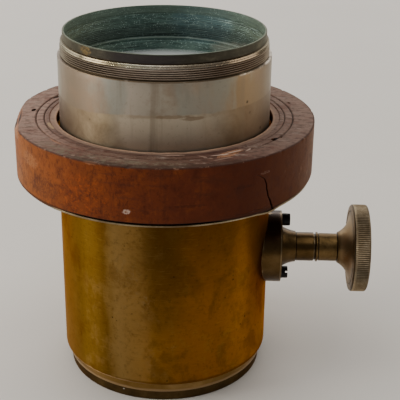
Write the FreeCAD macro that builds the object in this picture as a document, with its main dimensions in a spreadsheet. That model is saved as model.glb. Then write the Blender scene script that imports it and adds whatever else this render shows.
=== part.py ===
# Brass portrait lens that stands on its front rim: a focusing tube with two glass groups slides
# in an outer barrel, moved by a radial rack and pinion, and a turned wood ring carries the barrel.
# Frame: +Z is the optical axis, from front to rear, with z = 0 where the front rim rests;
# +X is the axis of the focusing shaft. All lengths are in millimetres.
import FreeCAD, Part
import math
import os
from types import SimpleNamespace
import Sketcher

SHEET = "Dims"
DIMENSIONS = {
    # focusing tube
    "tube_radius": 40.0, "tube_bore": 38.4, "tube_bottom": 4.05, "tube_top": 128.3,
    "tube_end_radius": 39.5, "tube_end_top": 9.0, "tube_edge": 0.35,
    # outer barrel
    "barrel_radius": 41.19, "barrel_bore": 40.08, "barrel_bottom": 8.2, "barrel_top": 100.0,
    # mounting flange, its screws and the wood ring
    "flange_radius": 56.3, "flange_bottom": 81.9, "flange_top": 82.6,
    "wood_radius": 57.1, "wood_bore": 41.25, "wood_bottom": 82.6, "wood_top": 103.9,
    "wood_relief_width": 4.0, "wood_relief_top": 83.5,
    "wood_edge": 0.6, "groove_depth": 0.45, "groove_width": 0.9,
    "outer_groove": 48.8, "inner_groove": 45.7,
    "flange_screw_circle": 50.0, "flange_screw_radius": 1.25, "flange_screw_head": 2.5,
    "flange_screw_depth": 12.0, "nail_hole_radius": 0.8, "nail_hole_depth": 7.0,
    # front cell and front glass
    "front_rim_radius": 38.9, "front_mouth": 37.4, "front_neck": 34.5, "front_seat": 9.0,
    "front_lip": 7.6, "glass_radius": 36.5, "cell_bore": 36.6, "front_cell_top": 22.6,
    "front_crown_edge": 2.0, "front_curve": 130.0, "cemented_curve": 90.0, "cement": 0.03,
    "front_flint_top": 20.6, "front_flint_curve": 400.0, "ring_opening": 34.2,
    # rear cell with its outside thread, and rear glass
    "rear_cell_bottom": 104.0, "rear_seat": 106.0, "thread_bottom": 129.3, "thread_top": 134.0,
    "thread_radius": 38.95, "thread_root": 38.5, "thread_count": 7, "collar_radius": 37.9,
    "collar_top": 137.25, "collar_bore": 37.15, "collar_step": 134.0, "collar_edge": 0.3,
    "rear_flint_top": 113.0,
    "rear_flint_front_curve": 300.0, "rear_flint_back_curve": 100.0, "rear_crown_bottom": 116.4,
    "rear_crown_top": 119.9, "rear_crown_curve": 150.0, "rear_ring_top": 124.7,
    "rear_ring_step": 35.4, "rear_ring_step_height": 123.5,
    # rack, its slot in the tube, and the plate that closes the slot from inside
    "shaft_height": 48.8, "gear_module": 0.6, "gear_teeth": 13, "rack_teeth": 20,
    "teeth_below": 5, "rack_addendum": 0.45, "rack_dedendum": 0.75, "rack_half_tooth": 0.42,
    "slot_near": -5.2, "slot_far": 8.05, "slot_bottom": 37.5, "slot_top": 78.5,
    "rack_inside": 37.3, "rack_outside": 39.1, "rack_back": 8.0, "rack_gap": 0.1,
    "rack_screw_radius": 0.6, "rack_screw_inset": 1.3, "rack_screw_offset": 6.5,
    "cover_thickness": 1.4, "cover_half_width": 10.5, "cover_margin": 2.5,
    # pinion gear and shaft
    "gear_inside": 37.5, "gear_outside": 39.3, "gear_root": 3.1, "gear_tip": 4.45,
    "gear_shoulder": 3.7, "tooth_half_root": 0.5, "tooth_half_shoulder": 0.43,
    "tooth_half_tip": 0.16, "spigot_radius": 1.6, "shaft_radius": 3.0, "shaft_collar_radius": 4.8,
    "shaft_collar_start": 43.9, "shaft_collar_end": 45.95, "shaft_step": 66.0,
    "shaft_end": 81.4, "shaft_end_radius": 2.2,
    # pinion housing, bearing cap and its screws
    "housing_radius": 14.3, "housing_face": 46.05, "housing_bore": 5.2, "housing_inside": 38.0,
    "cap_face": 46.6, "cap_bore": 3.05, "flare_start_radius": 8.1, "flare_start": 46.95,
    "flare_curve": 14.0, "flare_end_radius": 6.15, "flare_end": 52.4, "sleeve_radius": 5.75,
    "sleeve_start": 52.6, "sleeve_end": 59.6,
    "cap_screw_offset": 11.75, "cap_screw_radius": 1.15, "cap_screw_head_radius": 2.5,
    "cap_screw_head_height": 3.25, "cap_screw_length": 4.6, "screw_slot_width": 0.6,
    "screw_slot_depth": 1.0,
    # thrust ring and focusing knob
    "thrust_start": 59.65, "thrust_end": 61.65, "thrust_radius": 5.95, "thrust_neck_radius": 5.25,
    "bead_start": 60.45, "bead_end": 61.3, "bead_slope": 0.15,
    "stem_radius": 5.55, "stem_start": 61.65, "stem_end": 69.0, "cove_start_radius": 6.1,
    "cove_start": 69.2, "cove_end_radius": 14.3, "cove_end": 74.2, "cove_curve": 9.0,
    "knob_groove": 0.4, "knob_radius": 17.45, "knob_back": 74.4, "knob_back_edge": 1.15,
    "knob_front": 80.7, "knob_front_edge": 1.05, "knob_crown": 81.5, "knob_crown_radius": 9.0,
}
# Old nail holes in the wood ring's rear face: distance from the axis and direction in degrees.
NAIL_HOLES = [(50.6, 179.3), (48.3, 158.9), (50.7, 18.6), (49.8, -29.1), (48.5, -33.0)]


class Size:
    """A length and the sheet expression that drives it."""

    def __init__(self, number, text):
        self.number = number
        self.text = text

    def __add__(self, other):
        other = as_size(other)
        return Size(self.number + other.number, f"({self.text} + {other.text})")

    def __sub__(self, other):
        other = as_size(other)
        return Size(self.number - other.number, f"({self.text} - {other.text})")

    def __mul__(self, factor):
        factor = as_size(factor)
        return Size(self.number * factor.number, f"({self.text} * {factor.text})")

    def __truediv__(self, divisor):
        divisor = as_size(divisor)
        return Size(self.number / divisor.number, f"({self.text} / {divisor.text})")

    def __neg__(self):
        return Size(-self.number, f"(0 - {self.text})")


def as_size(value):
    """The value itself if it is a Size, or a plain number as one."""
    if isinstance(value, Size):
        return value
    return Size(float(value), repr(float(value)))


def make_sheet(document):
    """Fill the spreadsheet and return its cells as named sizes."""
    sheet = document.addObject("Spreadsheet::Sheet", SHEET)
    for row, (alias, value) in enumerate(DIMENSIONS.items(), start=1):
        sheet.set(f"A{row}", alias)
        sheet.set(f"B{row}", str(value))
        sheet.setAlias(f"B{row}", alias)
    document.recompute()
    return SimpleNamespace(**{alias: Size(float(sheet.get(alias)), f"{SHEET}.{alias}")
                              for alias in DIMENSIONS})


doc = FreeCAD.newDocument("portrait_lens")
dim = make_sheet(doc)
ORIGIN = (as_size(0), as_size(0), as_size(0))
PITCH = dim.gear_module * math.pi
PITCH_RADIUS = dim.gear_module * dim.gear_teeth / 2
subparts = []


def place(piece, move=ORIGIN, turn=None):
    """Put a piece at a driven position, turned by (axis, degrees) if given."""
    if turn:
        piece.Placement = FreeCAD.Placement(FreeCAD.Vector(), FreeCAD.Rotation(*turn))
    for letter, size in zip("xyz", move):
        piece.setExpression(f"Placement.Base.{letter}", size.text)


ALONG_X = (FreeCAD.Vector(0, 1, 0), 90)
ON_SHAFT = (as_size(0), as_size(0), dim.shaft_height)


def new_body(label):
    """An empty body that becomes the sub-part with this label."""
    body = doc.addObject("PartDesign::Body", label)
    body.Label = label
    subparts.append(body)
    return body


def new_sketch(body, plane_role, lift=None):
    """A sketch on one of the body's own origin planes, lifted along its normal."""
    sketch = body.newObject("Sketcher::SketchObject", body.Label + "_sketch")
    plane = next(item for item in body.Origin.OriginFeatures if item.Role == plane_role)
    sketch.AttachmentSupport = (plane, "")
    sketch.MapMode = "FlatFace"
    if lift is not None:
        sketch.setExpression("AttachmentOffset.Base.z", lift.text)
    return sketch


def drive(sketch, constraint, size):
    """Add a dimension to a sketch and bind it to the sheet."""
    index = sketch.addConstraint(constraint)
    sketch.setExpression(f"Constraints[{index}]", size.text)


def pin_point(sketch, edge, end, across, up):
    """Fix one end of an edge at driven coordinates."""
    for size, kind, axis in ((across, "DistanceX", -2), (up, "DistanceY", -1)):
        if abs(size.number) < 1e-9:
            sketch.addConstraint(Sketcher.Constraint("PointOnObject", edge, end, axis))
        else:
            drive(sketch, Sketcher.Constraint(kind, edge, end, size.number), size)


def arc_between(start, finish, radius):
    """The short arc between two points; a positive radius puts its centre on the left."""
    chord = finish - start
    left = FreeCAD.Vector(-chord.y, chord.x, 0).normalize()
    reach = math.sqrt(radius ** 2 - (chord.Length / 2) ** 2)
    centre = start + chord * 0.5 + left * math.copysign(reach, radius)
    spokes = [start - centre, finish - centre] if radius > 0 else [finish - centre, start - centre]
    first, last = (math.atan2(spoke.y, spoke.x) for spoke in spokes)
    circle = Part.Circle(centre, FreeCAD.Vector(0, 0, 1), abs(radius))
    return Part.ArcOfCircle(circle, first, last if last > first else last + 2 * math.pi)


def draw_outline(sketch, corners):
    """A closed outline. A corner is (across, up) or (across, up, radius of the arc that follows)."""
    corners = [tuple(as_size(value) for value in corner) for corner in corners]
    points = [FreeCAD.Vector(corner[0].number, corner[1].number, 0) for corner in corners]
    ends = []
    for index, corner in enumerate(corners):
        start = points[index]
        finish = points[(index + 1) % len(points)]
        if len(corner) == 2:
            edge = sketch.addGeometry(Part.LineSegment(start, finish))
            ends.append((edge, 1, 2))
            continue
        edge = sketch.addGeometry(arc_between(start, finish, corner[2].number))
        ends.append((edge, 1, 2) if corner[2].number > 0 else (edge, 2, 1))
        size = corner[2] if corner[2].number > 0 else -corner[2]
        drive(sketch, Sketcher.Constraint("Radius", edge, size.number), size)
    for index, (edge, first, _) in enumerate(ends):
        before = ends[index - 1]
        sketch.addConstraint(Sketcher.Constraint("Coincident", before[0], before[2], edge, first))
        pin_point(sketch, edge, first, corners[index][0], corners[index][1])


def draw_circle(sketch, across, up, radius):
    """A circle whose centre and radius are driven."""
    across, up, radius = as_size(across), as_size(up), as_size(radius)
    centre = FreeCAD.Vector(across.number, up.number, 0)
    edge = sketch.addGeometry(Part.Circle(centre, FreeCAD.Vector(0, 0, 1), radius.number))
    drive(sketch, Sketcher.Constraint("Radius", edge, radius.number), radius)
    pin_point(sketch, edge, 3, across, up)


def turned(label, corners):
    """A body turned about its own Z axis from (radius, height) corners."""
    body = new_body(label)
    sketch = new_sketch(body, "XZ_Plane")
    draw_outline(sketch, corners)
    revolution = body.newObject("PartDesign::Revolution", label + "_turned")
    revolution.Profile = sketch
    revolution.ReferenceAxis = (sketch, ["V_Axis"])
    revolution.Angle = 360
    sketch.Visibility = False
    return body


def padded(body, sketch, thickness):
    """Pad a sketch along its normal."""
    pad = body.newObject("PartDesign::Pad", body.Label + "_pad")
    pad.Profile = sketch
    pad.setExpression("Length", thickness.text)
    return pad


def pocketed(body, sketch, depth, along_normal):
    """Cut a sketch into the body, along its normal or against it, and make sure it cuts."""
    doc.recompute()
    before = body.Shape.Volume
    pocket = body.newObject("PartDesign::Pocket", body.Label + "_pocket")
    pocket.Profile = sketch
    pocket.Reversed = along_normal
    pocket.setExpression("Length", depth.text)
    doc.recompute()
    if body.Shape.Volume > before - 1e-6:
        raise RuntimeError(body.Label + ": a pocket cut nothing")
    return pocket


def patterned(body, kind, feature, reference, count, **extent):
    """Repeat a feature and make the pattern the body's result."""
    pattern = body.newObject("PartDesign::" + kind, body.Label + "_pattern")
    pattern.Originals = [feature]
    setattr(pattern, "Axis" if kind == "PolarPattern" else "Direction", reference)
    pattern.setExpression("Occurrences", count.text)
    for name, size in extent.items():
        pattern.setExpression(name, size.text)
    body.Tip = pattern


def primitive(kind, name, move=ORIGIN, turn=None, **sizes):
    """A Part primitive with driven sizes and place."""
    solid = doc.addObject("Part::" + kind, name)
    for key, size in sizes.items():
        solid.setExpression(key, as_size(size).text)
    place(solid, move, turn)
    return solid


def combine(kind, name, base, tool):
    """A Part::Cut, Part::Fuse or Part::Common of two objects."""
    result = doc.addObject("Part::" + kind, name)
    result.Base = base
    result.Tool = tool
    return result


def group(label, solids):
    """Identical fasteners kept together as one sub-part."""
    joined = doc.addObject("Part::MultiFuse", label)
    joined.Shapes = solids
    joined.Label = label
    subparts.append(joined)


# ---- focusing tube ------------------------------------------------------------------------------

def focusing_tube():
    """Thin tube with a turned-down front end and the slot that the pinion works in."""
    body = turned("focusing_tube", [
        (dim.tube_bore, dim.tube_bottom), (dim.tube_end_radius, dim.tube_bottom),
        (dim.tube_end_radius, dim.tube_end_top), (dim.tube_radius, dim.tube_end_top),
        (dim.tube_radius, dim.tube_top - dim.tube_edge),
        (dim.tube_radius - dim.tube_edge, dim.tube_top), (dim.tube_bore, dim.tube_top)])
    sketch = new_sketch(body, "YZ_Plane")
    draw_outline(sketch, [(dim.slot_near, dim.slot_bottom), (dim.slot_far, dim.slot_bottom),
                          (dim.slot_far, dim.slot_top), (dim.slot_near, dim.slot_top)])
    pocketed(body, sketch, dim.tube_radius + 1, along_normal=True)


def slot_cover():
    """Flat plate behind the slot, its long edges shaped to the tube's inner wall."""
    length = dim.slot_top - dim.slot_bottom + dim.cover_margin * 2
    bottom = dim.slot_bottom - dim.cover_margin
    plate = primitive("Box", "cover_plate",
                      (dim.rack_inside - dim.cover_thickness, -dim.cover_half_width, bottom),
                      Length=dim.cover_thickness, Width=dim.cover_half_width * 2, Height=length)
    wall = primitive("Cylinder", "cover_wall", (as_size(0), as_size(0), bottom),
                     Radius=dim.tube_bore, Height=length)
    cover = combine("Common", "slot_cover", plate, wall)
    cover.Label = "slot_cover"
    subparts.append(cover)


def rack_screw_heights():
    """Heights of the screws near the two ends of the rack."""
    return (dim.slot_bottom + dim.rack_screw_inset, dim.slot_top - dim.rack_screw_inset)


def focus_rack():
    """Bar along the slot's far side with teeth that face back across the slot."""
    body = new_body("focus_rack")
    root = PITCH_RADIUS + dim.rack_dedendum
    bar = new_sketch(body, "YZ_Plane", dim.rack_inside)
    low = dim.slot_bottom + dim.rack_gap
    high = dim.slot_top - dim.rack_gap
    draw_outline(bar, [(root, low), (dim.rack_back, low), (dim.rack_back, high), (root, high)])
    padded(body, bar, dim.rack_outside - dim.rack_inside)

    slope = math.tan(math.radians(20))
    half_root = dim.rack_half_tooth + dim.rack_dedendum * slope
    half_tip = dim.rack_half_tooth - dim.rack_addendum * slope
    first = dim.shaft_height - PITCH * dim.teeth_below
    tip = PITCH_RADIUS - dim.rack_addendum
    tooth = new_sketch(body, "YZ_Plane", dim.rack_inside)
    draw_outline(tooth, [(root + 0.2, first - half_root), (root + 0.2, first + half_root),
                         (root, first + half_root), (tip, first + half_tip),
                         (tip, first - half_tip), (root, first - half_root)])
    feature = padded(body, tooth, dim.rack_outside - dim.rack_inside)
    patterned(body, "LinearPattern", feature, (tooth, ["V_Axis"]), dim.rack_teeth,
              Length=PITCH * (dim.rack_teeth - 1))

    holes = new_sketch(body, "YZ_Plane", dim.rack_inside)
    for height in rack_screw_heights():
        draw_circle(holes, dim.rack_screw_offset, height, dim.rack_screw_radius)
    pocketed(body, holes, dim.rack_outside - dim.rack_inside, along_normal=True)


def rack_screws():
    """Two small pins that hold the rack down on the cover plate."""
    group("rack_screws", [
        primitive("Cylinder", "rack_screw", (dim.rack_inside, dim.rack_screw_offset, height),
                  ALONG_X, Radius=dim.rack_screw_radius,
                  Height=dim.rack_outside - dim.rack_inside)
        for height in rack_screw_heights()])


# ---- glass groups and their cells ---------------------------------------------------------------

def front_cell():
    """Ring that closes the tube's front end, with a flared mouth and a seat for the glass."""
    turned("front_cell", [
        (dim.front_mouth, 0), (dim.front_rim_radius, 0), (dim.front_rim_radius, dim.tube_bottom),
        (dim.tube_bore, dim.tube_bottom), (dim.tube_bore, dim.front_cell_top),
        (dim.cell_bore, dim.front_cell_top), (dim.cell_bore, dim.front_seat),
        (dim.front_neck, dim.front_seat), (dim.front_neck, dim.front_lip),
        (dim.front_mouth - 1, dim.front_lip - 3)])


def sagitta(curve, half_width):
    """Depth of a spherical cap."""
    depth = curve.number - math.sqrt(curve.number ** 2 - half_width.number ** 2)
    return Size(depth, f"({curve.text} - sqrt({curve.text}^2 - {half_width.text}^2))")


def glass(label, bottom, top, clear, below, above):
    """A lens element: a disc with a flat rim and spherical faces, from signed face curves.

    A positive curve below or above bulges out of the disc and a negative one is hollow.
    """
    def depth(curve):
        if curve.number > 0:
            return sagitta(curve, clear)
        return -sagitta(-curve, clear)
    turned(label, [
        (0, bottom - depth(below), below), (clear, bottom), (dim.glass_radius, bottom),
        (dim.glass_radius, top), (clear, top, above), (0, top + depth(above))])


def front_glass():
    """Cemented front pair and the ring that keeps it in the front cell."""
    crown_top = dim.front_seat + dim.front_crown_edge
    clear = dim.front_neck
    glass("front_crown_lens", dim.front_seat, crown_top, clear,
          dim.front_curve, dim.cemented_curve)
    glass("front_flint_lens", crown_top + dim.cement, dim.front_flint_top, clear,
          -dim.cemented_curve, -dim.front_flint_curve)
    turned("front_retaining_ring", [
        (dim.ring_opening, dim.front_flint_top), (dim.cell_bore, dim.front_flint_top),
        (dim.cell_bore, dim.front_cell_top), (dim.ring_opening, dim.front_cell_top)])


def rear_cell():
    """Ring that closes the tube's rear end: spigot, outside thread, collar and glass seat."""
    pitch = (dim.thread_top - dim.thread_bottom) / dim.thread_count
    corners = [
        (dim.ring_opening, dim.rear_cell_bottom), (dim.tube_bore, dim.rear_cell_bottom),
        (dim.tube_bore, dim.tube_top), (dim.thread_root, dim.tube_top),
        (dim.thread_root, dim.thread_bottom)]
    for turn in range(int(dim.thread_count.number)):
        base = dim.thread_bottom + pitch * turn
        corners += [(dim.thread_radius, base + pitch * 0.35), (dim.thread_radius, base + pitch * 0.6),
                    (dim.thread_root, base + pitch)]
    corners += [
        (dim.collar_radius, dim.thread_top), (dim.collar_radius, dim.collar_top - dim.collar_edge),
        (dim.collar_radius - dim.collar_edge, dim.collar_top), (dim.collar_bore, dim.collar_top),
        (dim.collar_bore, dim.collar_step), (dim.cell_bore, dim.collar_step),
        (dim.cell_bore, dim.rear_seat),
        (dim.ring_opening, dim.rear_seat)]
    turned("rear_cell", corners)


def rear_glass():
    """Air-spaced rear pair with its spacer, under a stepped retaining ring."""
    clear = dim.ring_opening
    glass("rear_flint_lens", dim.rear_seat, dim.rear_flint_top, clear,
          dim.rear_flint_front_curve, -dim.rear_flint_back_curve)
    turned("rear_spacer_ring", [
        (clear, dim.rear_flint_top), (dim.glass_radius, dim.rear_flint_top),
        (dim.glass_radius, dim.rear_crown_bottom), (clear, dim.rear_crown_bottom)])
    glass("rear_crown_lens", dim.rear_crown_bottom, dim.rear_crown_top, clear,
          dim.rear_crown_curve, dim.rear_crown_curve)
    turned("rear_retaining_ring", [
        (clear, dim.rear_crown_top), (dim.cell_bore, dim.rear_crown_top),
        (dim.cell_bore, dim.rear_ring_top), (dim.rear_ring_step, dim.rear_ring_top),
        (dim.rear_ring_step, dim.rear_ring_step_height), (clear, dim.rear_ring_step_height)])


# ---- outer barrel, flange and wood ring ---------------------------------------------------------

def outer_barrel():
    """Plain tube around the focusing tube, with the hole that the pinion comes through."""
    body = turned("outer_barrel", [
        (dim.barrel_bore, dim.barrel_bottom), (dim.barrel_radius, dim.barrel_bottom),
        (dim.barrel_radius, dim.barrel_top), (dim.barrel_bore, dim.barrel_top)])
    sketch = new_sketch(body, "YZ_Plane")
    draw_circle(sketch, 0, dim.shaft_height, dim.housing_bore)
    pocketed(body, sketch, dim.barrel_radius + 1, along_normal=True)


def screw_spots():
    """Places of the four flange screws, as fractions of their circle's radius."""
    return [(math.cos(math.radians(angle)), math.sin(math.radians(angle)))
            for angle in range(45, 360, 90)]


def flange_screw_parts(prefix):
    """Shank and tapered head of each flange screw."""
    head_height = dim.flange_top - dim.flange_bottom
    solids = []
    for across, up in screw_spots():
        spot = (dim.flange_screw_circle * across, dim.flange_screw_circle * up)
        head = primitive("Cone", prefix + "_head", (*spot, dim.flange_bottom),
                         Radius1=dim.flange_screw_head, Radius2=dim.flange_screw_radius,
                         Height=head_height)
        shank = primitive("Cylinder", prefix + "_shank", (*spot, dim.flange_top),
                          Radius=dim.flange_screw_radius, Height=dim.flange_screw_depth)
        solids.append(combine("Fuse", prefix, head, shank))
    return solids


def mounting_flange():
    """Thin plate under the wood ring, countersunk for its four screws."""
    plate = primitive("Cylinder", "flange_plate", (as_size(0), as_size(0), dim.flange_bottom),
                      Radius=dim.flange_radius, Height=dim.flange_top - dim.flange_bottom)
    hole = primitive("Cylinder", "flange_hole", (as_size(0), as_size(0), dim.flange_bottom - 1),
                     Radius=dim.barrel_radius, Height=4)
    flange = combine("Cut", "flange_blank", plate, hole)
    for number, tool in enumerate(flange_screw_parts("flange_countersink")):
        flange = combine("Cut", f"flange_cut_{number}", flange, tool)
    flange.Label = "mounting_flange"
    subparts.append(flange)


def wood_ring():
    """Turned wood ring, relieved below, with two lathe grooves, nail holes and screw holes."""
    half = dim.groove_width / 2
    top = dim.wood_top
    relief = dim.wood_radius - dim.wood_relief_width
    corners = [(dim.wood_bore, dim.wood_bottom), (relief, dim.wood_bottom),
               (relief, dim.wood_relief_top), (dim.wood_radius, dim.wood_relief_top),
               (dim.wood_radius, top - dim.wood_edge), (dim.wood_radius - dim.wood_edge, top)]
    for groove in (dim.outer_groove, dim.inner_groove):
        corners += [(groove + half, top), (groove, top - dim.groove_depth), (groove - half, top)]
    corners += [(dim.wood_bore + dim.wood_edge, top), (dim.wood_bore, top - dim.wood_edge)]
    body = turned("wood_ring", corners)

    screw_holes = new_sketch(body, "XY_Plane", dim.wood_bottom)
    for across, up in screw_spots():
        draw_circle(screw_holes, dim.flange_screw_circle * across, dim.flange_screw_circle * up,
                    dim.flange_screw_radius)
    pocketed(body, screw_holes, dim.flange_screw_depth, along_normal=True)

    nail_holes = new_sketch(body, "XY_Plane", top)
    for reach, angle in NAIL_HOLES:
        draw_circle(nail_holes, reach * math.cos(math.radians(angle)),
                    reach * math.sin(math.radians(angle)), dim.nail_hole_radius)
    pocketed(body, nail_holes, dim.nail_hole_depth, along_normal=False)


# ---- pinion housing and bearing cap -------------------------------------------------------------

def cap_screw_spots():
    """Heights of the two cap screws, above and below the shaft."""
    return (dim.shaft_height + dim.cap_screw_offset, dim.shaft_height - dim.cap_screw_offset)


def pinion_housing():
    """Round boss seated on the outer barrel's wall, bored for the pinion."""
    boss = primitive("Cylinder", "boss", (dim.housing_inside, as_size(0), dim.shaft_height), ALONG_X,
                     Radius=dim.housing_radius, Height=dim.housing_face - dim.housing_inside)
    barrel = primitive("Cylinder", "boss_seat", Radius=dim.barrel_radius, Height=dim.barrel_top)
    housing = combine("Cut", "boss_seated", boss, barrel)
    bore = primitive("Cylinder", "boss_bore", ON_SHAFT, ALONG_X, Radius=dim.housing_bore,
                     Height=dim.housing_face + 1)
    housing = combine("Cut", "boss_bored", housing, bore)
    for height in cap_screw_spots():
        hole = primitive("Cylinder", "boss_thread",
                         (dim.cap_face - dim.cap_screw_length, as_size(0), height), ALONG_X,
                         Radius=dim.cap_screw_radius, Height=dim.cap_screw_length + 1)
        housing = combine("Cut", "boss_tapped", housing, hole)
    housing.Label = "pinion_housing"
    subparts.append(housing)


def bearing_cap():
    """Plate on the housing with a flared sleeve that the shaft turns in."""
    body = turned("bearing_cap", [
        (dim.cap_bore, dim.housing_face), (dim.housing_radius, dim.housing_face),
        (dim.housing_radius, dim.cap_face), (dim.flare_start_radius, dim.cap_face),
        (dim.flare_start_radius, dim.flare_start, -dim.flare_curve),
        (dim.flare_end_radius, dim.flare_end), (dim.sleeve_radius, dim.sleeve_start),
        (dim.sleeve_radius, dim.sleeve_end),
        (dim.cap_bore, dim.sleeve_end)])
    holes = new_sketch(body, "XY_Plane", dim.housing_face)
    for side in (1, -1):
        draw_circle(holes, dim.cap_screw_offset * side, 0, dim.cap_screw_radius)
    pocketed(body, holes, dim.cap_face - dim.housing_face, along_normal=True)
    place(body, ON_SHAFT, ALONG_X)


def cap_screws():
    """Two slotted cheese-head screws."""
    screws = []
    for height in cap_screw_spots():
        head = primitive("Cylinder", "cap_screw_head", (dim.cap_face, as_size(0), height), ALONG_X,
                         Radius=dim.cap_screw_head_radius, Height=dim.cap_screw_head_height)
        shank = primitive("Cylinder", "cap_screw_shank",
                          (dim.cap_face - dim.cap_screw_length, as_size(0), height), ALONG_X,
                          Radius=dim.cap_screw_radius, Height=dim.cap_screw_length)
        slot = primitive("Box", "cap_screw_slot",
                         (dim.cap_face + dim.cap_screw_head_height - dim.screw_slot_depth,
                          -dim.cap_screw_head_radius, height - dim.screw_slot_width / 2),
                         Length=dim.screw_slot_depth + 1, Width=dim.cap_screw_head_radius * 2,
                         Height=dim.screw_slot_width)
        blank = combine("Fuse", "cap_screw_blank", head, shank)
        screws.append(combine("Cut", "cap_screw", blank, slot))
    group("cap_screws", screws)


# ---- pinion, shaft and knob ---------------------------------------------------------------------

def pinion_gear():
    """Small spur gear on the shaft's inner end, with a gap between teeth facing the rack."""
    body = new_body("pinion_gear")
    disc = new_sketch(body, "XY_Plane", dim.gear_inside)
    draw_circle(disc, 0, 0, dim.gear_root)
    draw_circle(disc, 0, 0, dim.spigot_radius)
    padded(body, disc, dim.gear_outside - dim.gear_inside)
    tooth = new_sketch(body, "XY_Plane", dim.gear_inside)
    right = [(dim.tooth_half_root, -(dim.gear_root - 0.2)),
             (dim.tooth_half_shoulder, -dim.gear_shoulder), (dim.tooth_half_tip, -dim.gear_tip)]
    left = [(-across, up) for across, up in reversed(right)]
    draw_outline(tooth, left + right)
    feature = padded(body, tooth, dim.gear_outside - dim.gear_inside)
    patterned(body, "PolarPattern", feature, (tooth, ["N_Axis"]), dim.gear_teeth)
    place(body, ON_SHAFT, ALONG_X)


def pinion_shaft():
    """Stepped shaft from the gear, through the cap, to the knob's outer face."""
    body = turned("pinion_shaft", [
        (0, dim.gear_inside), (dim.spigot_radius, dim.gear_inside),
        (dim.spigot_radius, dim.gear_outside), (dim.shaft_radius, dim.gear_outside),
        (dim.shaft_radius, dim.shaft_collar_start),
        (dim.shaft_collar_radius, dim.shaft_collar_start),
        (dim.shaft_collar_radius, dim.shaft_collar_end), (dim.shaft_radius, dim.shaft_collar_end),
        (dim.shaft_radius, dim.shaft_step), (dim.shaft_end_radius, dim.shaft_step),
        (dim.shaft_end_radius, dim.shaft_end), (0, dim.shaft_end)])
    place(body, ON_SHAFT, ALONG_X)


def thrust_ring():
    """Ring with a bead between two turned grooves, from the sleeve to the knob's stem."""
    neck = dim.thrust_neck_radius
    body = turned("thrust_ring", [
        (dim.shaft_radius, dim.thrust_start), (neck, dim.thrust_start), (neck, dim.bead_start),
        (dim.thrust_radius, dim.bead_start + dim.bead_slope),
        (dim.thrust_radius, dim.bead_end - dim.bead_slope), (neck, dim.bead_end),
        (neck, dim.thrust_end), (dim.shaft_radius, dim.thrust_end)])
    place(body, ON_SHAFT, ALONG_X)


def focus_knob():
    """Stem, cove, a turned groove, and a thick round disc with a slightly crowned face."""
    body = turned("focus_knob", [
        (dim.shaft_radius, dim.stem_start), (dim.stem_radius, dim.stem_start),
        (dim.stem_radius, dim.stem_end), (dim.cove_start_radius, dim.cove_start, -dim.cove_curve),
        (dim.cove_end_radius, dim.cove_end),
        (dim.cove_end_radius + dim.knob_groove, dim.cove_end + dim.knob_groove),
        (dim.cove_end_radius + dim.knob_groove * 2, dim.cove_end),
        (dim.knob_radius - dim.knob_back_edge, dim.knob_back, dim.knob_back_edge),
        (dim.knob_radius, dim.knob_back + dim.knob_back_edge),
        (dim.knob_radius, dim.knob_front - dim.knob_front_edge, dim.knob_front_edge),
        (dim.knob_radius - dim.knob_front_edge, dim.knob_front),
        (dim.knob_crown_radius, dim.knob_crown), (dim.shaft_end_radius, dim.knob_crown),
        (dim.shaft_end_radius, dim.shaft_step), (dim.shaft_radius, dim.shaft_step)])
    place(body, ON_SHAFT, ALONG_X)


# ---- build, check and write ---------------------------------------------------------------------

def check():
    """Stop if any object failed or any sub-part is not a valid solid."""
    for item in doc.Objects:
        if "Invalid" in item.State or "Error" in item.State:
            raise RuntimeError(f"{item.Name}: {item.State}")
    for piece in subparts:
        shape = piece.Shape
        if shape.isNull() or not shape.isValid() or not shape.Solids:
            raise RuntimeError(piece.Label + ": bad shape")


def write():
    """Write each sub-part to its own STEP file."""
    os.makedirs("parts", exist_ok=True)
    for piece in subparts:
        piece.Shape.exportStep(f"parts/{piece.Label}.step")
        box = piece.Shape.BoundBox
        print(f"{piece.Label:22s} {len(piece.Shape.Solids)} solid(s) {piece.Shape.Volume:10.1f} mm3"
              f"  x {box.XMin:7.2f} {box.XMax:7.2f}  z {box.ZMin:7.2f} {box.ZMax:7.2f}")


focusing_tube()
slot_cover()
focus_rack()
rack_screws()
front_cell()
front_glass()
rear_cell()
rear_glass()
outer_barrel()
mounting_flange()
group("flange_screws", flange_screw_parts("flange_screw"))
wood_ring()
pinion_housing()
bearing_cap()
cap_screws()
pinion_gear()
pinion_shaft()
thrust_ring()
focus_knob()
doc.recompute()
check()
write()
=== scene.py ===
"""Looks of the brass portrait lens: turned metal, an old wood ring, two glass groups and a knob."""
import math
import random
import bmesh
import bpy
from mathutils import Matrix, Vector, noise


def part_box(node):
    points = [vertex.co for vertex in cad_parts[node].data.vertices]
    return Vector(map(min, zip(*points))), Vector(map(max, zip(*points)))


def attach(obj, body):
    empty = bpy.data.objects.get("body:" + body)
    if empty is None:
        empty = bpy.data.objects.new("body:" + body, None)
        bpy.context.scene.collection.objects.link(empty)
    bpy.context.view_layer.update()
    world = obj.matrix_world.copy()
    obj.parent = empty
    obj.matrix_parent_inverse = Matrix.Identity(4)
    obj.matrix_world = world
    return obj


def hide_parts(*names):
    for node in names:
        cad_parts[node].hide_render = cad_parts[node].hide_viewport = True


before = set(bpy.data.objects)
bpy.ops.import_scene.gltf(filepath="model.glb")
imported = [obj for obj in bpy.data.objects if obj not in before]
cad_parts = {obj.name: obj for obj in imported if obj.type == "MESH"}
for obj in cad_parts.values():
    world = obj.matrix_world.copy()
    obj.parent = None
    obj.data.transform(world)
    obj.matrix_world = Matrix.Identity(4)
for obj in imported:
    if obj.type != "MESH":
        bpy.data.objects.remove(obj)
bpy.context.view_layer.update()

MM = 0.001


# ---- places read from the frame -------------------------------------------------------------------

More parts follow.
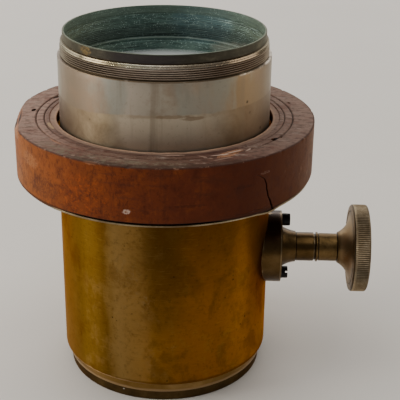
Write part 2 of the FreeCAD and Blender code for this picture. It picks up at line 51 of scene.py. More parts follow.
def span(node):
    """Largest radius, lowest and highest point of a node that is turned about the optical axis."""
    low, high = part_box(node)
    return high[0], low[2], high[2]


TUBE_R, TUBE_LOW, TUBE_TOP = span("focusing_tube")
BARREL_R, BARREL_LOW, BARREL_TOP = span("outer_barrel")
WOOD_R, WOOD_LOW, WOOD_TOP = span("wood_ring")
FLANGE_R, FLANGE_LOW, FLANGE_TOP = span("mounting_flange")
THREAD_R, REAR_LOW, REAR_TOP = span("rear_cell")
FRONT_R, _, FRONT_TOP = span("front_cell")
_, LOCK_LOW, LOCK_TOP = span("rear_retaining_ring")
GLASS_R = span("rear_crown_lens")[0]
KNOB_LOW, KNOB_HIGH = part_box("focus_knob")
CAP_LOW, CAP_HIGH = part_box("bearing_cap")
HOUSING_LOW, HOUSING_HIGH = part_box("pinion_housing")
THRUST_LOW, THRUST_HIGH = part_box("thrust_ring")
SCREWS_LOW, SCREWS_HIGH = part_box("cap_screws")
SHAFT_Z = (KNOB_LOW[2] + KNOB_HIGH[2]) / 2
KNOB_R = (KNOB_HIGH[1] - KNOB_LOW[1]) / 2
HOUSING_R = (HOUSING_HIGH[1] - HOUSING_LOW[1]) / 2

# ---- sizes and tables that the frame doesn't give -------------------------------------------------

TUBE_BORE = TUBE_R - 1.6 * MM
BARREL_BORE = TUBE_R + 0.08 * MM
WOOD_BORE = BARREL_R + 0.06 * MM
CELL_BORE = GLASS_R + 0.1 * MM
RING_OPENING = 34.2 * MM
FRONT_OPENING = 34.5 * MM
FRONT_SEAT = 9.0 * MM
COLLAR_R = 37.9 * MM
COLLAR_BORE = 37.15 * MM
COLLAR_STEP = REAR_TOP - 3.25 * MM
THREAD_LOW = TUBE_TOP + 0.25 * MM
THREAD_HIGH = REAR_TOP - 4.9 * MM
THREAD_PITCH = 0.76 * MM
BEAD_R = 38.8 * MM
PINION_ROOM = 5.2 * MM
CAP_FRONT = HOUSING_HIGH[0] + 0.55 * MM
SCREW_CIRCLE = 50  # the flange screws' distance from the axis, in millimetres
LIFT = 0.5 * MM
RIDGES = 132
SHARP = math.radians(35)
QUARTER = math.pi / 2

# Brown stains at the tide line: centre and size in millimetres.
BROWN_STAINS = [((4, -41.0, 116.0), (8, 3, 0.8)), ((13, -38.5, 115.1), (5, 3, 0.7))]
# Grooves across the shaft painted dark as shade, from one place along X to the other.
GROOVE_SHADE_BANDS = [(52.4 * MM, 52.75 * MM), (THRUST_LOW[0], THRUST_LOW[0] + 0.8 * MM),
                 (THRUST_HIGH[0] - 0.3 * MM, THRUST_HIGH[0]), (68.85 * MM, 69.15 * MM),
                 (74.45 * MM, 74.85 * MM)]
# Plain tones of the back, where the colours that go round the object meet; those colours carry painted
# light, shade and reflections as well as each surface's own tone.
BRASS_BACK = (0.24, 0.11, 0.012)
SILVER_BACK = (0.4, 0.33, 0.25)
WOOD_BACK = (0.17, 0.048, 0.018)
DUST_BACK = (0.25, 0.16, 0.12)
# Rubbed places on the barrel: centre and size in millimetres.
SCUFFS = [((-9, -40.2, 44), (7, 6, 5)), ((8, -40.4, 25), (7, 3, 0.5)),
          ((-12, -39.4, 57), (5, 5, 8))]
# Chips, rubs, dark marks and painted shade at the nail holes of the wood: centre and size in
# millimetres, lean, strength, colour.
PALE_CHIP = (0.58, 0.43, 0.34)
TORN = (0.42, 0.2, 0.1)
# Near-black painted shade in the nail holes.
HOLE_SHADE = (0.016, 0.009, 0.007)
DRY = (0.36, 0.24, 0.18)
FACE = 103.9  # the height of the wood's rear face
MARKS = [
    ((-9.4, -56.3, 87.6), (1.2, 2.0, 0.9), 35, 0.8, PALE_CHIP),
    ((25.0, -41.5, FACE), (6.0, 2.0, 1.5), 48, 0.8, TORN),
    ((21.5, -43.0, FACE), (3.6, 0.28, 1.5), 22, 0.9, PALE_CHIP),
    ((26.5, -39.6, FACE), (3.8, 0.3, 1.5), 36, 0.9, PALE_CHIP),
    ((31.0, -37.6, FACE), (2.6, 0.26, 1.5), 52, 0.8, PALE_CHIP),
    ((23.0, -46.5, FACE), (4.2, 0.28, 1.5), 30, 0.7, DRY),
    ((17.0, -45.5, FACE), (3.0, 0.45, 1.0), -25, 0.7, DRY),
    ((5.5, -44.5, FACE), (4.5, 0.4, 1.0), 8, 0.7, DRY),
    ((-12.5, -49.8, FACE), (1.0, 0.35, 1.0), 0, 0.7, DRY),
    ((-28.5, -46.5, FACE), (0.8, 0.4, 1.0), 0, 0.7, DRY),
    ((-21.5, -52.5, FACE), (3.2, 0.5, 1.2), -22, 0.5, TORN),
    ((-36.5, -33.5, FACE), (3.6, 0.7, 1.5), -47, 0.7, (0.36, 0.17, 0.09)),
    ((-41.0, -17.0, FACE), (4.0, 0.8, 1.5), -66, 0.8, (0.45, 0.3, 0.17)),
    ((41.9, -24.7, FACE), (2.6, 0.45, 1.5), 38, 1.0, HOLE_SHADE),
    ((-44.4, 17.3, FACE), (2.2, 0.9, 1.5), 60, 1.0, HOLE_SHADE),
    ((-50.6, 0.6, FACE), (1.5, 0.9, 1.5), 80, 1.0, HOLE_SHADE),
    ((37.2, -42.6, 97.8), (2.2, 2.4, 0.5), 41, 0.25, DRY),
    ((-53.5, -19.0, 101.8), (3.0, 6.0, 1.8), 15, 0.6, (0.42, 0.22, 0.12)),
    ((-40.0, -40.6, 89.0), (8.0, 3.0, 4.4), -45, 0.6, (0.1, 0.03, 0.014)),
    ((-46.0, -33.5, 97.0), (6.0, 3.0, 2.6), -52, 0.5, (0.4, 0.17, 0.07)),
    ((12.0, -55.8, 90.0), (7.0, 3.0, 0.5), 12, 0.5, (0.04, 0.012, 0.007)),
    ((30.0, -48.5, 94.5), (5.0, 3.0, 0.6), 30, 0.5, (0.04, 0.012, 0.007)),
]
# Nail holes: distance from the axis and direction in degrees, then the hole's half width, how much
# longer it is than wide, and which way it is drawn out.
NAIL_HOLES = [(50.6, 179.3, 0.75, 1.5, 85), (48.3, 158.9, 0.70, 2.0, 60), (50.7, 18.6, 0.6, 1.0, 0),
              (49.2, -28.7, 0.62, 1.3, 40), (48.2, -32.6, 0.70, 1.4, 40)]
# Splits in the wood's side: (direction in degrees, height in millimetres, half width) points.
CRACK = [(-53.2, 97.9, 0.08), (-51.4, 97.2, 0.16), (-49.2, 95.6, 0.24), (-48.2, 93.7, 0.34),
         (-47.8, 91.0, 0.42), (-47.0, 88.5, 0.38), (-45.9, 86.6, 0.48), (-44.9, 83.9, 0.60),
         (-44.2, 81.5, 0.62)]
SPLINTER = [(-62.0, 84.5, 0.03), (-57.5, 84.1, 0.13), (-53.0, 84.5, 0.10), (-49.5, 84.2, 0.16),
            (-46.0, 84.9, 0.06)]

# ---- meshes ---------------------------------------------------------------------------------------

def around(reach, angle, height=0.0):
    """The point at a distance and a direction in radians from the optical axis."""
    return reach * math.cos(angle), reach * math.sin(angle), height


def limited(value):
    """The value kept between 0 and 1."""
    return min(1.0, max(0.0, value))


def wave(angle):
    """A wave from 0 to 1 and back."""
    return 0.5 - 0.5 * math.cos(angle)


def dent(depth, spot):
    """How far a worn surface lies below its true place, from a depth in millimetres."""
    return depth * MM * (1 + noise.noise(spot))


def rounded(corners, steps=3):
    """Closed outline of (radius, height, bevel) corners with each bevel as a small curve."""
    outline = []
    for index, corner in enumerate(corners):
        here = Vector(corner[:2])
        bevel = corner[2] if len(corner) > 2 else 0.0
        if not bevel:
            outline.append(here)
            continue
        before = Vector(corners[index - 1][:2])
        after = Vector(corners[(index + 1) % len(corners)][:2])
        start = here + (before - here).normalized() * bevel
        finish = here + (after - here).normalized() * bevel
        for step in range(steps + 1):
            t = step / steps
            outline.append(start * (1 - t) ** 2 + here * (2 * t * (1 - t)) + finish * t ** 2)
    return outline


def dense(outline, step):
    """The same closed outline with no edge longer than step."""
    points = []
    for index, here in enumerate(outline):
        after = outline[(index + 1) % len(outline)]
        pieces = max(1, math.ceil((after - here).length / step))
        points += [here.lerp(after, piece / pieces) for piece in range(pieces)]
    return points


def add_object(name, data):
    """A new object in the scene."""
    made = bpy.data.objects.new(name, data)
    bpy.context.scene.collection.objects.link(made)
    return made


def new_mesh(name, vertices, faces):
    mesh = bpy.data.meshes.new(name)
    mesh.from_pydata(vertices, [], faces)
    return mesh


def smooth(mesh):
    """Smooth shading with sharp creases."""
    mesh.shade_smooth()
    mesh.set_sharp_from_angle(angle=SHARP)


def finish_mesh(name, mesh):
    """Weld, orient and smooth a mesh, and put it in the scene as an object."""
    work = bmesh.new()
    work.from_mesh(mesh)
    bmesh.ops.remove_doubles(work, verts=work.verts, dist=2e-6)
    bmesh.ops.dissolve_degenerate(work, edges=work.edges, dist=1e-7)
    bmesh.ops.recalc_face_normals(work, faces=work.faces)
    work.to_mesh(mesh)
    work.free()
    smooth(mesh)
    return add_object(name, mesh)


def lathe(name, outline, columns, shape=None, along_x=False):
    """Mesh turned from a closed outline. shape moves a point given its radius, height and angle."""
    on_axis = 1e-7
    rows = [tuple(Vector(point)) for point in outline]
    vertices = []
    for column in range(columns):
        angle = 2 * math.pi * column / columns
        for radius, height in rows:
            if shape:
                radius, height = shape(radius, height, angle)
            vertices.append(around(radius, angle, height))
    count = len(rows)
    faces = []
    for column in range(columns):
        here, beside = column * count, (column + 1) % columns * count
        for row in range(count):
            above = (row + 1) % count
            if max(rows[row][0], rows[above][0]) >= on_axis:
                faces.append((here + row, beside + row, beside + above, here + above))
    mesh = new_mesh(name, vertices, faces)
    if along_x:
        mesh.transform(Matrix.Translation((0, 0, SHAFT_Z)) @ Matrix.Rotation(QUARTER, 4, "Y"))
    return finish_mesh(name, mesh)


def turned(name, corners, columns, step, shape=None, along_x=False, steps=3):
    """Mesh turned from bevelled corners, with rows no further apart than step."""
    return lathe(name, dense(rounded(corners, steps), step), columns, shape, along_x)


def plug(name, radius, low, high, columns, along_x=False):
    """A plain cylinder, used as a cutter."""
    return lathe(name, [(0, low), (radius, low), (radius, high), (0, high)], columns,
                 along_x=along_x)


def block(name, low, high):
    """A plain box, used as a cutter."""
    work = bmesh.new()
    bmesh.ops.create_cube(work, size=1)
    middle = (Vector(low) + Vector(high)) / 2
    size = Vector(high) - Vector(low)
    bmesh.ops.transform(work, verts=work.verts,
                        matrix=Matrix.Translation(middle) @ Matrix.Diagonal((*size, 1)))
    mesh = bpy.data.meshes.new(name)
    work.to_mesh(mesh)
    work.free()
    return add_object(name, mesh)


def move_out(piece, reach, direction):
    """Move a cutter off the optical axis: reach in millimetres, direction in degrees."""
    piece.data.transform(Matrix.Translation(around(reach * MM, math.radians(direction))))


def carve(piece, *cutters):
    """Cut the cutters out of a piece and delete them."""
    for cutter in cutters:
        modifier = piece.modifiers.new("cut", "BOOLEAN")
        modifier.operation = "DIFFERENCE"
        modifier.solver = "EXACT"
        modifier.object = cutter
    evaluated = piece.evaluated_get(bpy.context.evaluated_depsgraph_get())
    mesh = bpy.data.meshes.new_from_object(evaluated)
    piece.modifiers.clear()
    piece.data = mesh
    smooth(mesh)
    for cutter in cutters:
        bpy.data.objects.remove(cutter, do_unlink=True)


def install(piece, body, node, material):
    """Give a piece its material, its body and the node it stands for."""
    piece.data.materials.clear()
    piece.data.materials.append(material)
    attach(piece, body)
    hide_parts(node)


# ---- materials ------------------------------------------------------------------------------------

class Field:
    """A value or colour that varies over a surface: one output of a node."""

    def __init__(self, paint, socket):
        self.paint = paint
        self.socket = socket

    def __add__(self, other):
        return self.paint.math("ADD", self, other)

    def __sub__(self, other):
        return self.paint.math("SUBTRACT", self, other)

    def __rsub__(self, other):
        return self.paint.math("SUBTRACT", other, self)

    def __mul__(self, other):
        return self.paint.math("MULTIPLY", self, other)

    def __truediv__(self, other):
        return self.paint.math("DIVIDE", self, other)

    def __abs__(self):
        return self.paint.math("ABSOLUTE", self)

    def larger(self, other):
        return self.paint.math("MAXIMUM", self, other)

    def step(self, low, high):
        """0 below low, 1 above high, smooth between; low may be the larger."""
        start, finish = (0.0, 1.0) if low < high else (1.0, 0.0)
        return self.paint.wire(
            "ShaderNodeMapRange", interpolation_type="SMOOTHSTEP",
            inputs={"Value": self, "From Min": min(low, high), "From Max": max(low, high),
                    "To Min": start, "To Max": finish})

    def past(self, place, low, high):
        """A step between two points, given in millimetres from a place."""
        return self.step(place + low * MM, place + high * MM)

    def zone(self, start, full, still_full, end):
        """1 between two places and 0 outside them, with a smooth step at each."""
        return self.step(start, full) * self.step(end, still_full)

    def side(self, low, high):
        """A step of facing(), faded out behind the object, where facing() jumps from 1 to 0."""
        return self.step(low, high) * abs(self.paint.facing() - 0.5).step(0.42, 0.32)

    def spread(self, low, high):
        """A 0 to 1 value spread between low and high."""
        return self.paint.wire("ShaderNodeMapRange",
                               inputs={"Value": self, "To Min": low, "To Max": high})

    def ramp(self, stops):
        """Colours by value, from (value, colour) stops."""
        made = self.paint.node("ShaderNodeValToRGB")
        elements = made.color_ramp.elements
        while len(elements) < len(stops):
            elements.new(1.0)
        for element, (position, colour) in zip(elements, stops):
            element.position = position
            element.color = (*colour, 1.0)
        self.paint.feed(made.inputs["Fac"], self)
        return Field(self.paint, made.outputs["Color"])

    def blend(self, amount, other):
        """This colour turned into another one by an amount."""
        return self.paint.mix(amount, self, other)

    def stained(self, colour, strength, low, high, *grain, **placing):
        """This colour turned into another where a noise, described last, goes from low to high."""
        mask = self.paint.noise(*grain, **placing).step(low, high)
        return self.blend(mask * strength, colour)


class Paint:
    """One procedural material, built node by node."""

    def __init__(self, name, **values):
        self.material = bpy.data.materials.new(name)
        self.material.use_nodes = True
        self.tree = self.material.node_tree
        self.shader = self.tree.nodes["Principled BSDF"]
        for socket, value in values.items():
            self.put(socket.replace("_", " "), value)
        self.relief = None
        coordinates = self.node("ShaderNodeTexCoord")
        self.position = Field(self, coordinates.outputs["Object"])
        self.normal = Field(self, coordinates.outputs["Normal"])

    def node(self, kind, **settings):
        made = self.tree.nodes.new(kind)
        for key, value in settings.items():
            setattr(made, key, value)
        return made

    def feed(self, socket, value):
        """Link a field to a socket, or set the socket's own value."""
        if isinstance(value, Field):
            self.tree.links.new(value.socket, socket)
        else:
            socket.default_value = value

    def put(self, name, value):
        """Feed one of the shader's own sockets."""
        self.feed(self.shader.inputs[name], value)

    def wire(self, kind, inputs, output=0, **settings):
        """Make a node, feed its inputs by name or number and return one of its outputs."""
        made = self.node(kind, **settings)
        for socket, value in inputs.items():
            self.feed(made.inputs[socket], value)
        return Field(self, made.outputs[output])

    def math(self, operation, first, second=0.0):
        return self.wire("ShaderNodeMath", {0: first, 1: second}, operation=operation)

    def vector_math(self, operation, first, second=(0, 0, 0), output="Vector"):
        return self.wire("ShaderNodeVectorMath", {0: first, 1: second}, output,
                         operation=operation)

    def place(self, scale=(1, 1, 1), move=(0, 0, 0), turn=(0, 0, 0)):
        """Object position in metres, turned, then scaled along each axis."""
        return self.wire("ShaderNodeMapping", {"Vector": self.position, "Scale": scale,
                                               "Location": move, "Rotation": turn})

    def parts(self):
        """The x, y and z of the object position."""
        return [self.part(self.position, index) for index in range(3)]

    def part(self, source, index):
        """One axis of a position or a direction."""
        return self.wire("ShaderNodeSeparateXYZ", {0: source}, index)

    def height(self):
        return self.part(self.position, 2)

    def noise(self, scale, detail=4.0, roughness=0.55, stretch=(1, 1, 1), distortion=0.0,
              turn=(0, 0, 0), move=(0, 0, 0)):
        return self.wire("ShaderNodeTexNoise", {
            "Vector": self.place(stretch, move, turn), "Scale": scale, "Detail": detail,
            "Roughness": roughness, "Distortion": distortion})

    def cells(self, scale, stretch=(1, 1, 1)):
        """Distance to the nearest of many scattered points."""
        return self.wire("ShaderNodeTexVoronoi", {"Vector": self.place(stretch), "Scale": scale})

    def mix(self, amount, first, second):
        """First turned into second by an amount; a colour may be a plain tuple."""
        first, second = ((*c, 1.0) if isinstance(c, tuple) else c for c in (first, second))
        colour_a, colour_b, colour_out = 6, 7, 2
        return self.wire("ShaderNodeMix", {0: amount, colour_a: first, colour_b: second},
                         colour_out, data_type="RGBA")

    def bump(self, height, depth):
        """Add relief, its depth in millimetres."""
        inputs = {"Strength": 1.0, "Distance": depth * MM, "Height": height}
        if self.relief is not None:
            inputs["Normal"] = self.relief
        self.relief = self.wire("ShaderNodeBump", inputs)

    def done(self, colour, roughness):
        """Finish the shader and return the material."""
        self.put("Base Color", colour)
        self.put("Roughness", roughness)
        if self.relief is not None:
            self.put("Normal", self.relief)
        return self.material

    def radius(self, from_shaft=False):
        """Distance from the optical axis, or from the shaft's axis."""
        x, y, z = self.parts()
        first, second = (y, z - SHAFT_Z) if from_shaft else (x, y)
        return self.math("SQRT", first * first + second * second)

    def facing(self):
        """0 to 1 round the optical axis: 0.5 at -Y, 0.25 at -X, 0.75 at +X, the seam at +Y."""
        x, y, _ = self.parts()
        return self.math("ARCTAN2", x, y * -1.0) / (2 * math.pi) + 0.5

    def near(self, centre, size, turn=0.0, ragged=0.35, scale=900):
        """Mask of a ragged spot: centre and size in millimetres, turned about Z in degrees."""
        spot = self.vector_math("SUBTRACT", self.position, [c * MM for c in centre])
        spot = self.wire("ShaderNodeVectorRotate",
                         {"Vector": spot, "Angle": -math.radians(turn)}, rotation_type="Z_AXIS")
        spot = self.vector_math("MULTIPLY", spot, [1 / (s * MM) for s in size])
        reach = self.vector_math("LENGTH", spot, output="Value")
        distance = reach + self.noise(scale, 3, 0.6) * (2 * ragged)
        return distance.step(1.15 + ragged, 0.75 + ragged)


def brushed_round(paint, amount, axis="Z"):
    """Fine turning marks spread reflections along the axis that the part was turned about."""
    tangent = paint.wire("ShaderNodeTangent", {}, direction_type="RADIAL", axis=axis)
    paint.put("Tangent", tangent)
    paint.put("Anisotropic", amount)
    paint.put("Anisotropic Rotation", 0.25)


def lacquered_brass():
    """Aged amber lacquer over brass: olive and orange zones that also carry painted reflections, a
    dark front that is painted shadow and reflection, painted shade below the wood ring and above the
    worn foot edge.
    """
    paint = Paint("lacquered_brass", Metallic=1.0, Specular_Tint=(0.62, 0.36, 0.12, 1.0))
    brushed_round(paint, 0.85)
    height = paint.height()
    drift = paint.noise(34, 5, 0.6, stretch=(1, 1, 0.45)) * 0.05
    turn = paint.facing() + (drift - 0.025)
    # The ramp round the barrel paints reflections into the lacquer's own tone: a pale band at the
    # front left is a painted window reflection, the dark front a painted dark reflection, the orange
    # right side a painted warm reflection.
    tone = turn.ramp([
        (0.0, BRASS_BACK), (0.29, (0.28, 0.178, 0.088)), (0.335, (0.215, 0.126, 0.044)),
        (0.37, (0.16, 0.088, 0.014)), (0.418, (0.12, 0.058, 0.006)), (0.438, (0.27, 0.16, 0.05)),
        (0.472, (0.3, 0.16, 0.04)), (0.496, (0.26, 0.114, 0.012)), (0.54, (0.26, 0.1, 0.006)),
        (0.575, (0.29, 0.105, 0.005)), (0.66, (0.28, 0.11, 0.006)), (0.72, (0.42, 0.2, 0.028)),
        (1.0, BRASS_BACK)])
    across = abs(turn - 0.505)
    rise = height + paint.noise(45, 5, 0.6) * 0.03
    # Painted shadow of the wood ring and painted dark reflection on the upper front of the barrel.
    front_shadow_reflection = across.step(0.055, 0.005) * rise.step(0.035, 0.08)
    tone = tone.blend(front_shadow_reflection * 0.8, (0.07, 0.038, 0.008))
    # Painted shade under the wood ring and beside the housing, on the upper right of the barrel.
    upper = rise.step(0.045, 0.092) * turn.side(0.47, 0.51)
    tone = tone.blend(upper * 0.75, (0.085, 0.034, 0.002))
    tone = tone.stained((0.11, 0.046, 0.004), 0.5, 0.48, 0.62, 85, 6, 0.68, stretch=(1, 1, 0.7),
                        distortion=0.4)
    ghost = paint.noise(130, 6, 0.72, stretch=(1, 1, 0.7), move=(2, 5, 1))
    ghost = ghost.step(0.5, 0.66) * rise.step(0.085, 0.05).spread(0.06, 0.22)
    tone = tone.blend(ghost, (0.3, 0.19, 0.07))
    tone = tone.stained((0.06, 0.028, 0.004), 0.42, 0.5, 0.72, 620, 5, 0.7)
    scratch = paint.noise(210, 6, 0.72, stretch=(1, 1, 7), distortion=0.4)
    tone = tone.blend(scratch.step(0.54, 0.66) * 0.12, (0.36, 0.235, 0.09))
    tone = tone.blend(scratch.step(0.45, 0.34) * 0.22, (0.07, 0.032, 0.004))
    pits = paint.cells(300)
    pit_mask = pits.step(0.15, 0.05) * paint.noise(90).step(0.52, 0.62)
    tone = tone.blend(pit_mask, (0.04, 0.02, 0.006))
    for centre, size in SCUFFS:
        scuff = paint.near(centre, size, 0, 0.9, 260) * paint.noise(800, 5, 0.7).step(0.46, 0.66)
        tone = tone.blend(scuff * 0.5, (0.26, 0.16, 0.06))
    edge = height + paint.noise(420) * 0.0009
    # Painted shade in a thin band just above the barrel's worn lower edge.
    bottom_edge_shade = edge.past(BARREL_LOW, 1.9, 1.3) * turn.side(0.42, 0.46)
    tone = tone.blend(bottom_edge_shade * 0.6, (0.1, 0.04, 0.004))
    rub = edge.past(BARREL_LOW, 1.05, 0.75) * turn.side(0.52, 0.38)
    tone = tone.blend(rub * 0.85, (0.5, 0.34, 0.19))
    paint.bump(paint.noise(60, 5, 0.6, stretch=(1, 1, 22)), 0.01)
    paint.bump(paint.noise(700, 5, 0.65), 0.01)
    paint.bump(paint.noise(48, 4, 0.55), 0.1)
    return paint.done(tone, paint.noise(110, 6, 0.6).spread(0.34, 0.5))


def flange_metal():
    """Tarnished flange: brown flats, a silvery rubbed rim that also carries a painted glint, painted
    darker on the left as shade.
    """
    paint = Paint("flange_metal", Metallic=1.0)
    tone = paint.noise(120, 6, 0.65).ramp([
        (0.3, (0.07, 0.045, 0.02)), (0.52, (0.14, 0.09, 0.045)), (0.75, (0.24, 0.17, 0.09))])
    ragged = paint.radius() + paint.noise(500) * (0.5 * MM)
    rim = ragged.past(FLANGE_R, -0.35, -0.05)
    # The pale rim is partly rubbed metal and partly a painted glint.
    worn = paint.noise(60, 5, 0.6, move=(4, 2, 0)).ramp([
        (0.35, (0.16, 0.11, 0.06)), (0.55, (0.36, 0.29, 0.18)), (0.7, (0.55, 0.48, 0.35))])
    turn = paint.facing()
    # The rim is painted darker on the left as shade, where its glint fades.
    worn = worn.blend(turn.side(0.42, 0.36), (0.06, 0.04, 0.02))
    tone = tone.blend(rim, worn)
    paint.bump(paint.noise(300, 5, 0.6), 0.02)
    return paint.done(tone, paint.noise(140, 5).spread(0.35, 0.55))


def silvered_brass():
    """Worn silvery plating, browner to the right and below a tide line, with streaks and spots; a
    painted highlight band, painted shade on the right and near the wood ring, and painted light in the
    centre below the tide line.
    """
    paint = Paint("silvered_brass", Metallic=1.0)
    brushed_round(paint, 0.55)
    height = paint.height()
    drift = paint.noise(26, 5, 0.6) * 0.1
    turn = paint.facing() + (drift - 0.05)
    # The ramp round the tube is partly the plating's tone and partly painted light: the pale band at
    # the front left is a painted highlight, the darker right side painted shade.
    tone = turn.ramp([
        (0.0, SILVER_BACK), (0.29, (0.33, 0.31, 0.24)), (0.35, (0.225, 0.172, 0.115)),
        (0.41, (0.25, 0.195, 0.148)), (0.465, (0.49, 0.43, 0.36)), (0.505, (0.41, 0.37, 0.3)),
        (0.56, (0.44, 0.345, 0.255)), (0.63, (0.29, 0.2, 0.11)), (0.68, (0.27, 0.195, 0.115)),
        (0.72, (0.33, 0.27, 0.19)), (1.0, SILVER_BACK)])
    tone = tone.stained((0.27, 0.19, 0.125), 0.62, 0.45, 0.64, 60, 6, 0.66, distortion=0.5)
    tone = tone.stained((0.31, 0.34, 0.3), 0.55, 0.5, 0.66, 48, 5, 0.6, stretch=(1, 1, 0.4),
                        move=(5, 1, 2))
    wander = paint.noise(20, 4, 0.6) * (2.4 * MM) + paint.noise(300, 4, 0.6) * (0.8 * MM)
    falling = turn.step(0.5, 0.36) * (2.0 * MM)
    tide = height + wander + falling
    below = tide.past(TUBE_TOP, -10.0, -10.7)
    brown = paint.noise(95, 6, 0.68, distortion=0.6).ramp([
        (0.32, (0.2, 0.14, 0.075)), (0.52, (0.33, 0.255, 0.155)), (0.72, (0.44, 0.36, 0.23))])
    right_side = turn.side(0.54, 0.66)
    brown = brown.blend(right_side * 0.75, (0.19, 0.125, 0.075))
    # Below the tide line the left side is darker: partly stain, partly a painted reflection and shade
    # of the wood ring.
    left_side = turn.side(0.41, 0.32)
    brown = brown.blend(left_side * 0.85, (0.13, 0.085, 0.056))
    # Painted light: the centre below the tide line is made lighter where it reflects the dark gap at
    # the wood ring.
    middle = turn.zone(0.42, 0.46, 0.55, 0.62)
    brown = brown.blend(middle * 0.8, (0.68, 0.59, 0.46))
    tone = tone.blend(below * 0.8, brown)
    line = below * tide.past(TUBE_TOP, -12.0, -10.9)
    stain = paint.noise(40, 4, 0.6, move=(1, 7, 3)).step(0.5, 0.62)
    tone = tone.blend(line * stain * 0.4, (0.17, 0.105, 0.05))
    for centre, size in BROWN_STAINS:
        stained = paint.near(centre, size, 15, 0.8, 240) * 0.55
        tone = tone.blend(stained, (0.2, 0.12, 0.055))
    tone = tone.stained((0.22, 0.165, 0.11), 0.45, 0.5, 0.7, 170, 5, 0.62, stretch=(1, 1, 0.07))
    # Painted shade on the right of the tube just above the wood ring.
    ring_shade = (height + paint.noise(120) * (3 * MM)).past(WOOD_TOP, 5.0, 2.2)
    ring_shade = ring_shade * right_side.spread(0.1, 0.45)
    tone = tone.blend(ring_shade, (0.17, 0.115, 0.075))
    spots = paint.cells(210)
    spot_mask = spots.step(0.17, 0.07) * paint.noise(75).step(0.53, 0.64)
    tone = tone.blend(spot_mask, (0.07, 0.045, 0.025))
    tone = tone.stained((0.16, 0.12, 0.08), 0.3, 0.55, 0.75, 900, 4, 0.7)
    edge = height + paint.noise(260) * (0.9 * MM)
    bevel = height.past(TUBE_TOP, -0.4, -0.25)
    tone = tone.blend(bevel, (0.17, 0.125, 0.08))
    rubbed = edge.past(TUBE_TOP, -0.25, 0) * paint.noise(65, 4, 0.6, move=(3, 1, 1)).step(0.5, 0.6)
    tone = tone.blend(rubbed, (0.55, 0.48, 0.38))
    foot = height.past(BARREL_LOW, 1.0, 0.5)
    foot_tone = paint.noise(70, 5, 0.6).ramp([
        (0.35, (0.165, 0.088, 0.02)), (0.55, (0.24, 0.138, 0.04)), (0.72, (0.33, 0.205, 0.075))])
    low_edge = height + paint.noise(140, 4, 0.6) * (1.2 * MM)
    foot_tone = foot_tone.blend(low_edge.past(TUBE_LOW, 1.9, 1.3), (0.34, 0.225, 0.11))
    tone = tone.blend(foot, foot_tone)
    paint.bump(paint.noise(55, 5, 0.65, stretch=(1, 1, 26)), 0.012)
    paint.bump(paint.noise(600, 5, 0.65), 0.008)
    return paint.done(tone, paint.noise(90, 6, 0.62).spread(0.36, 0.54))


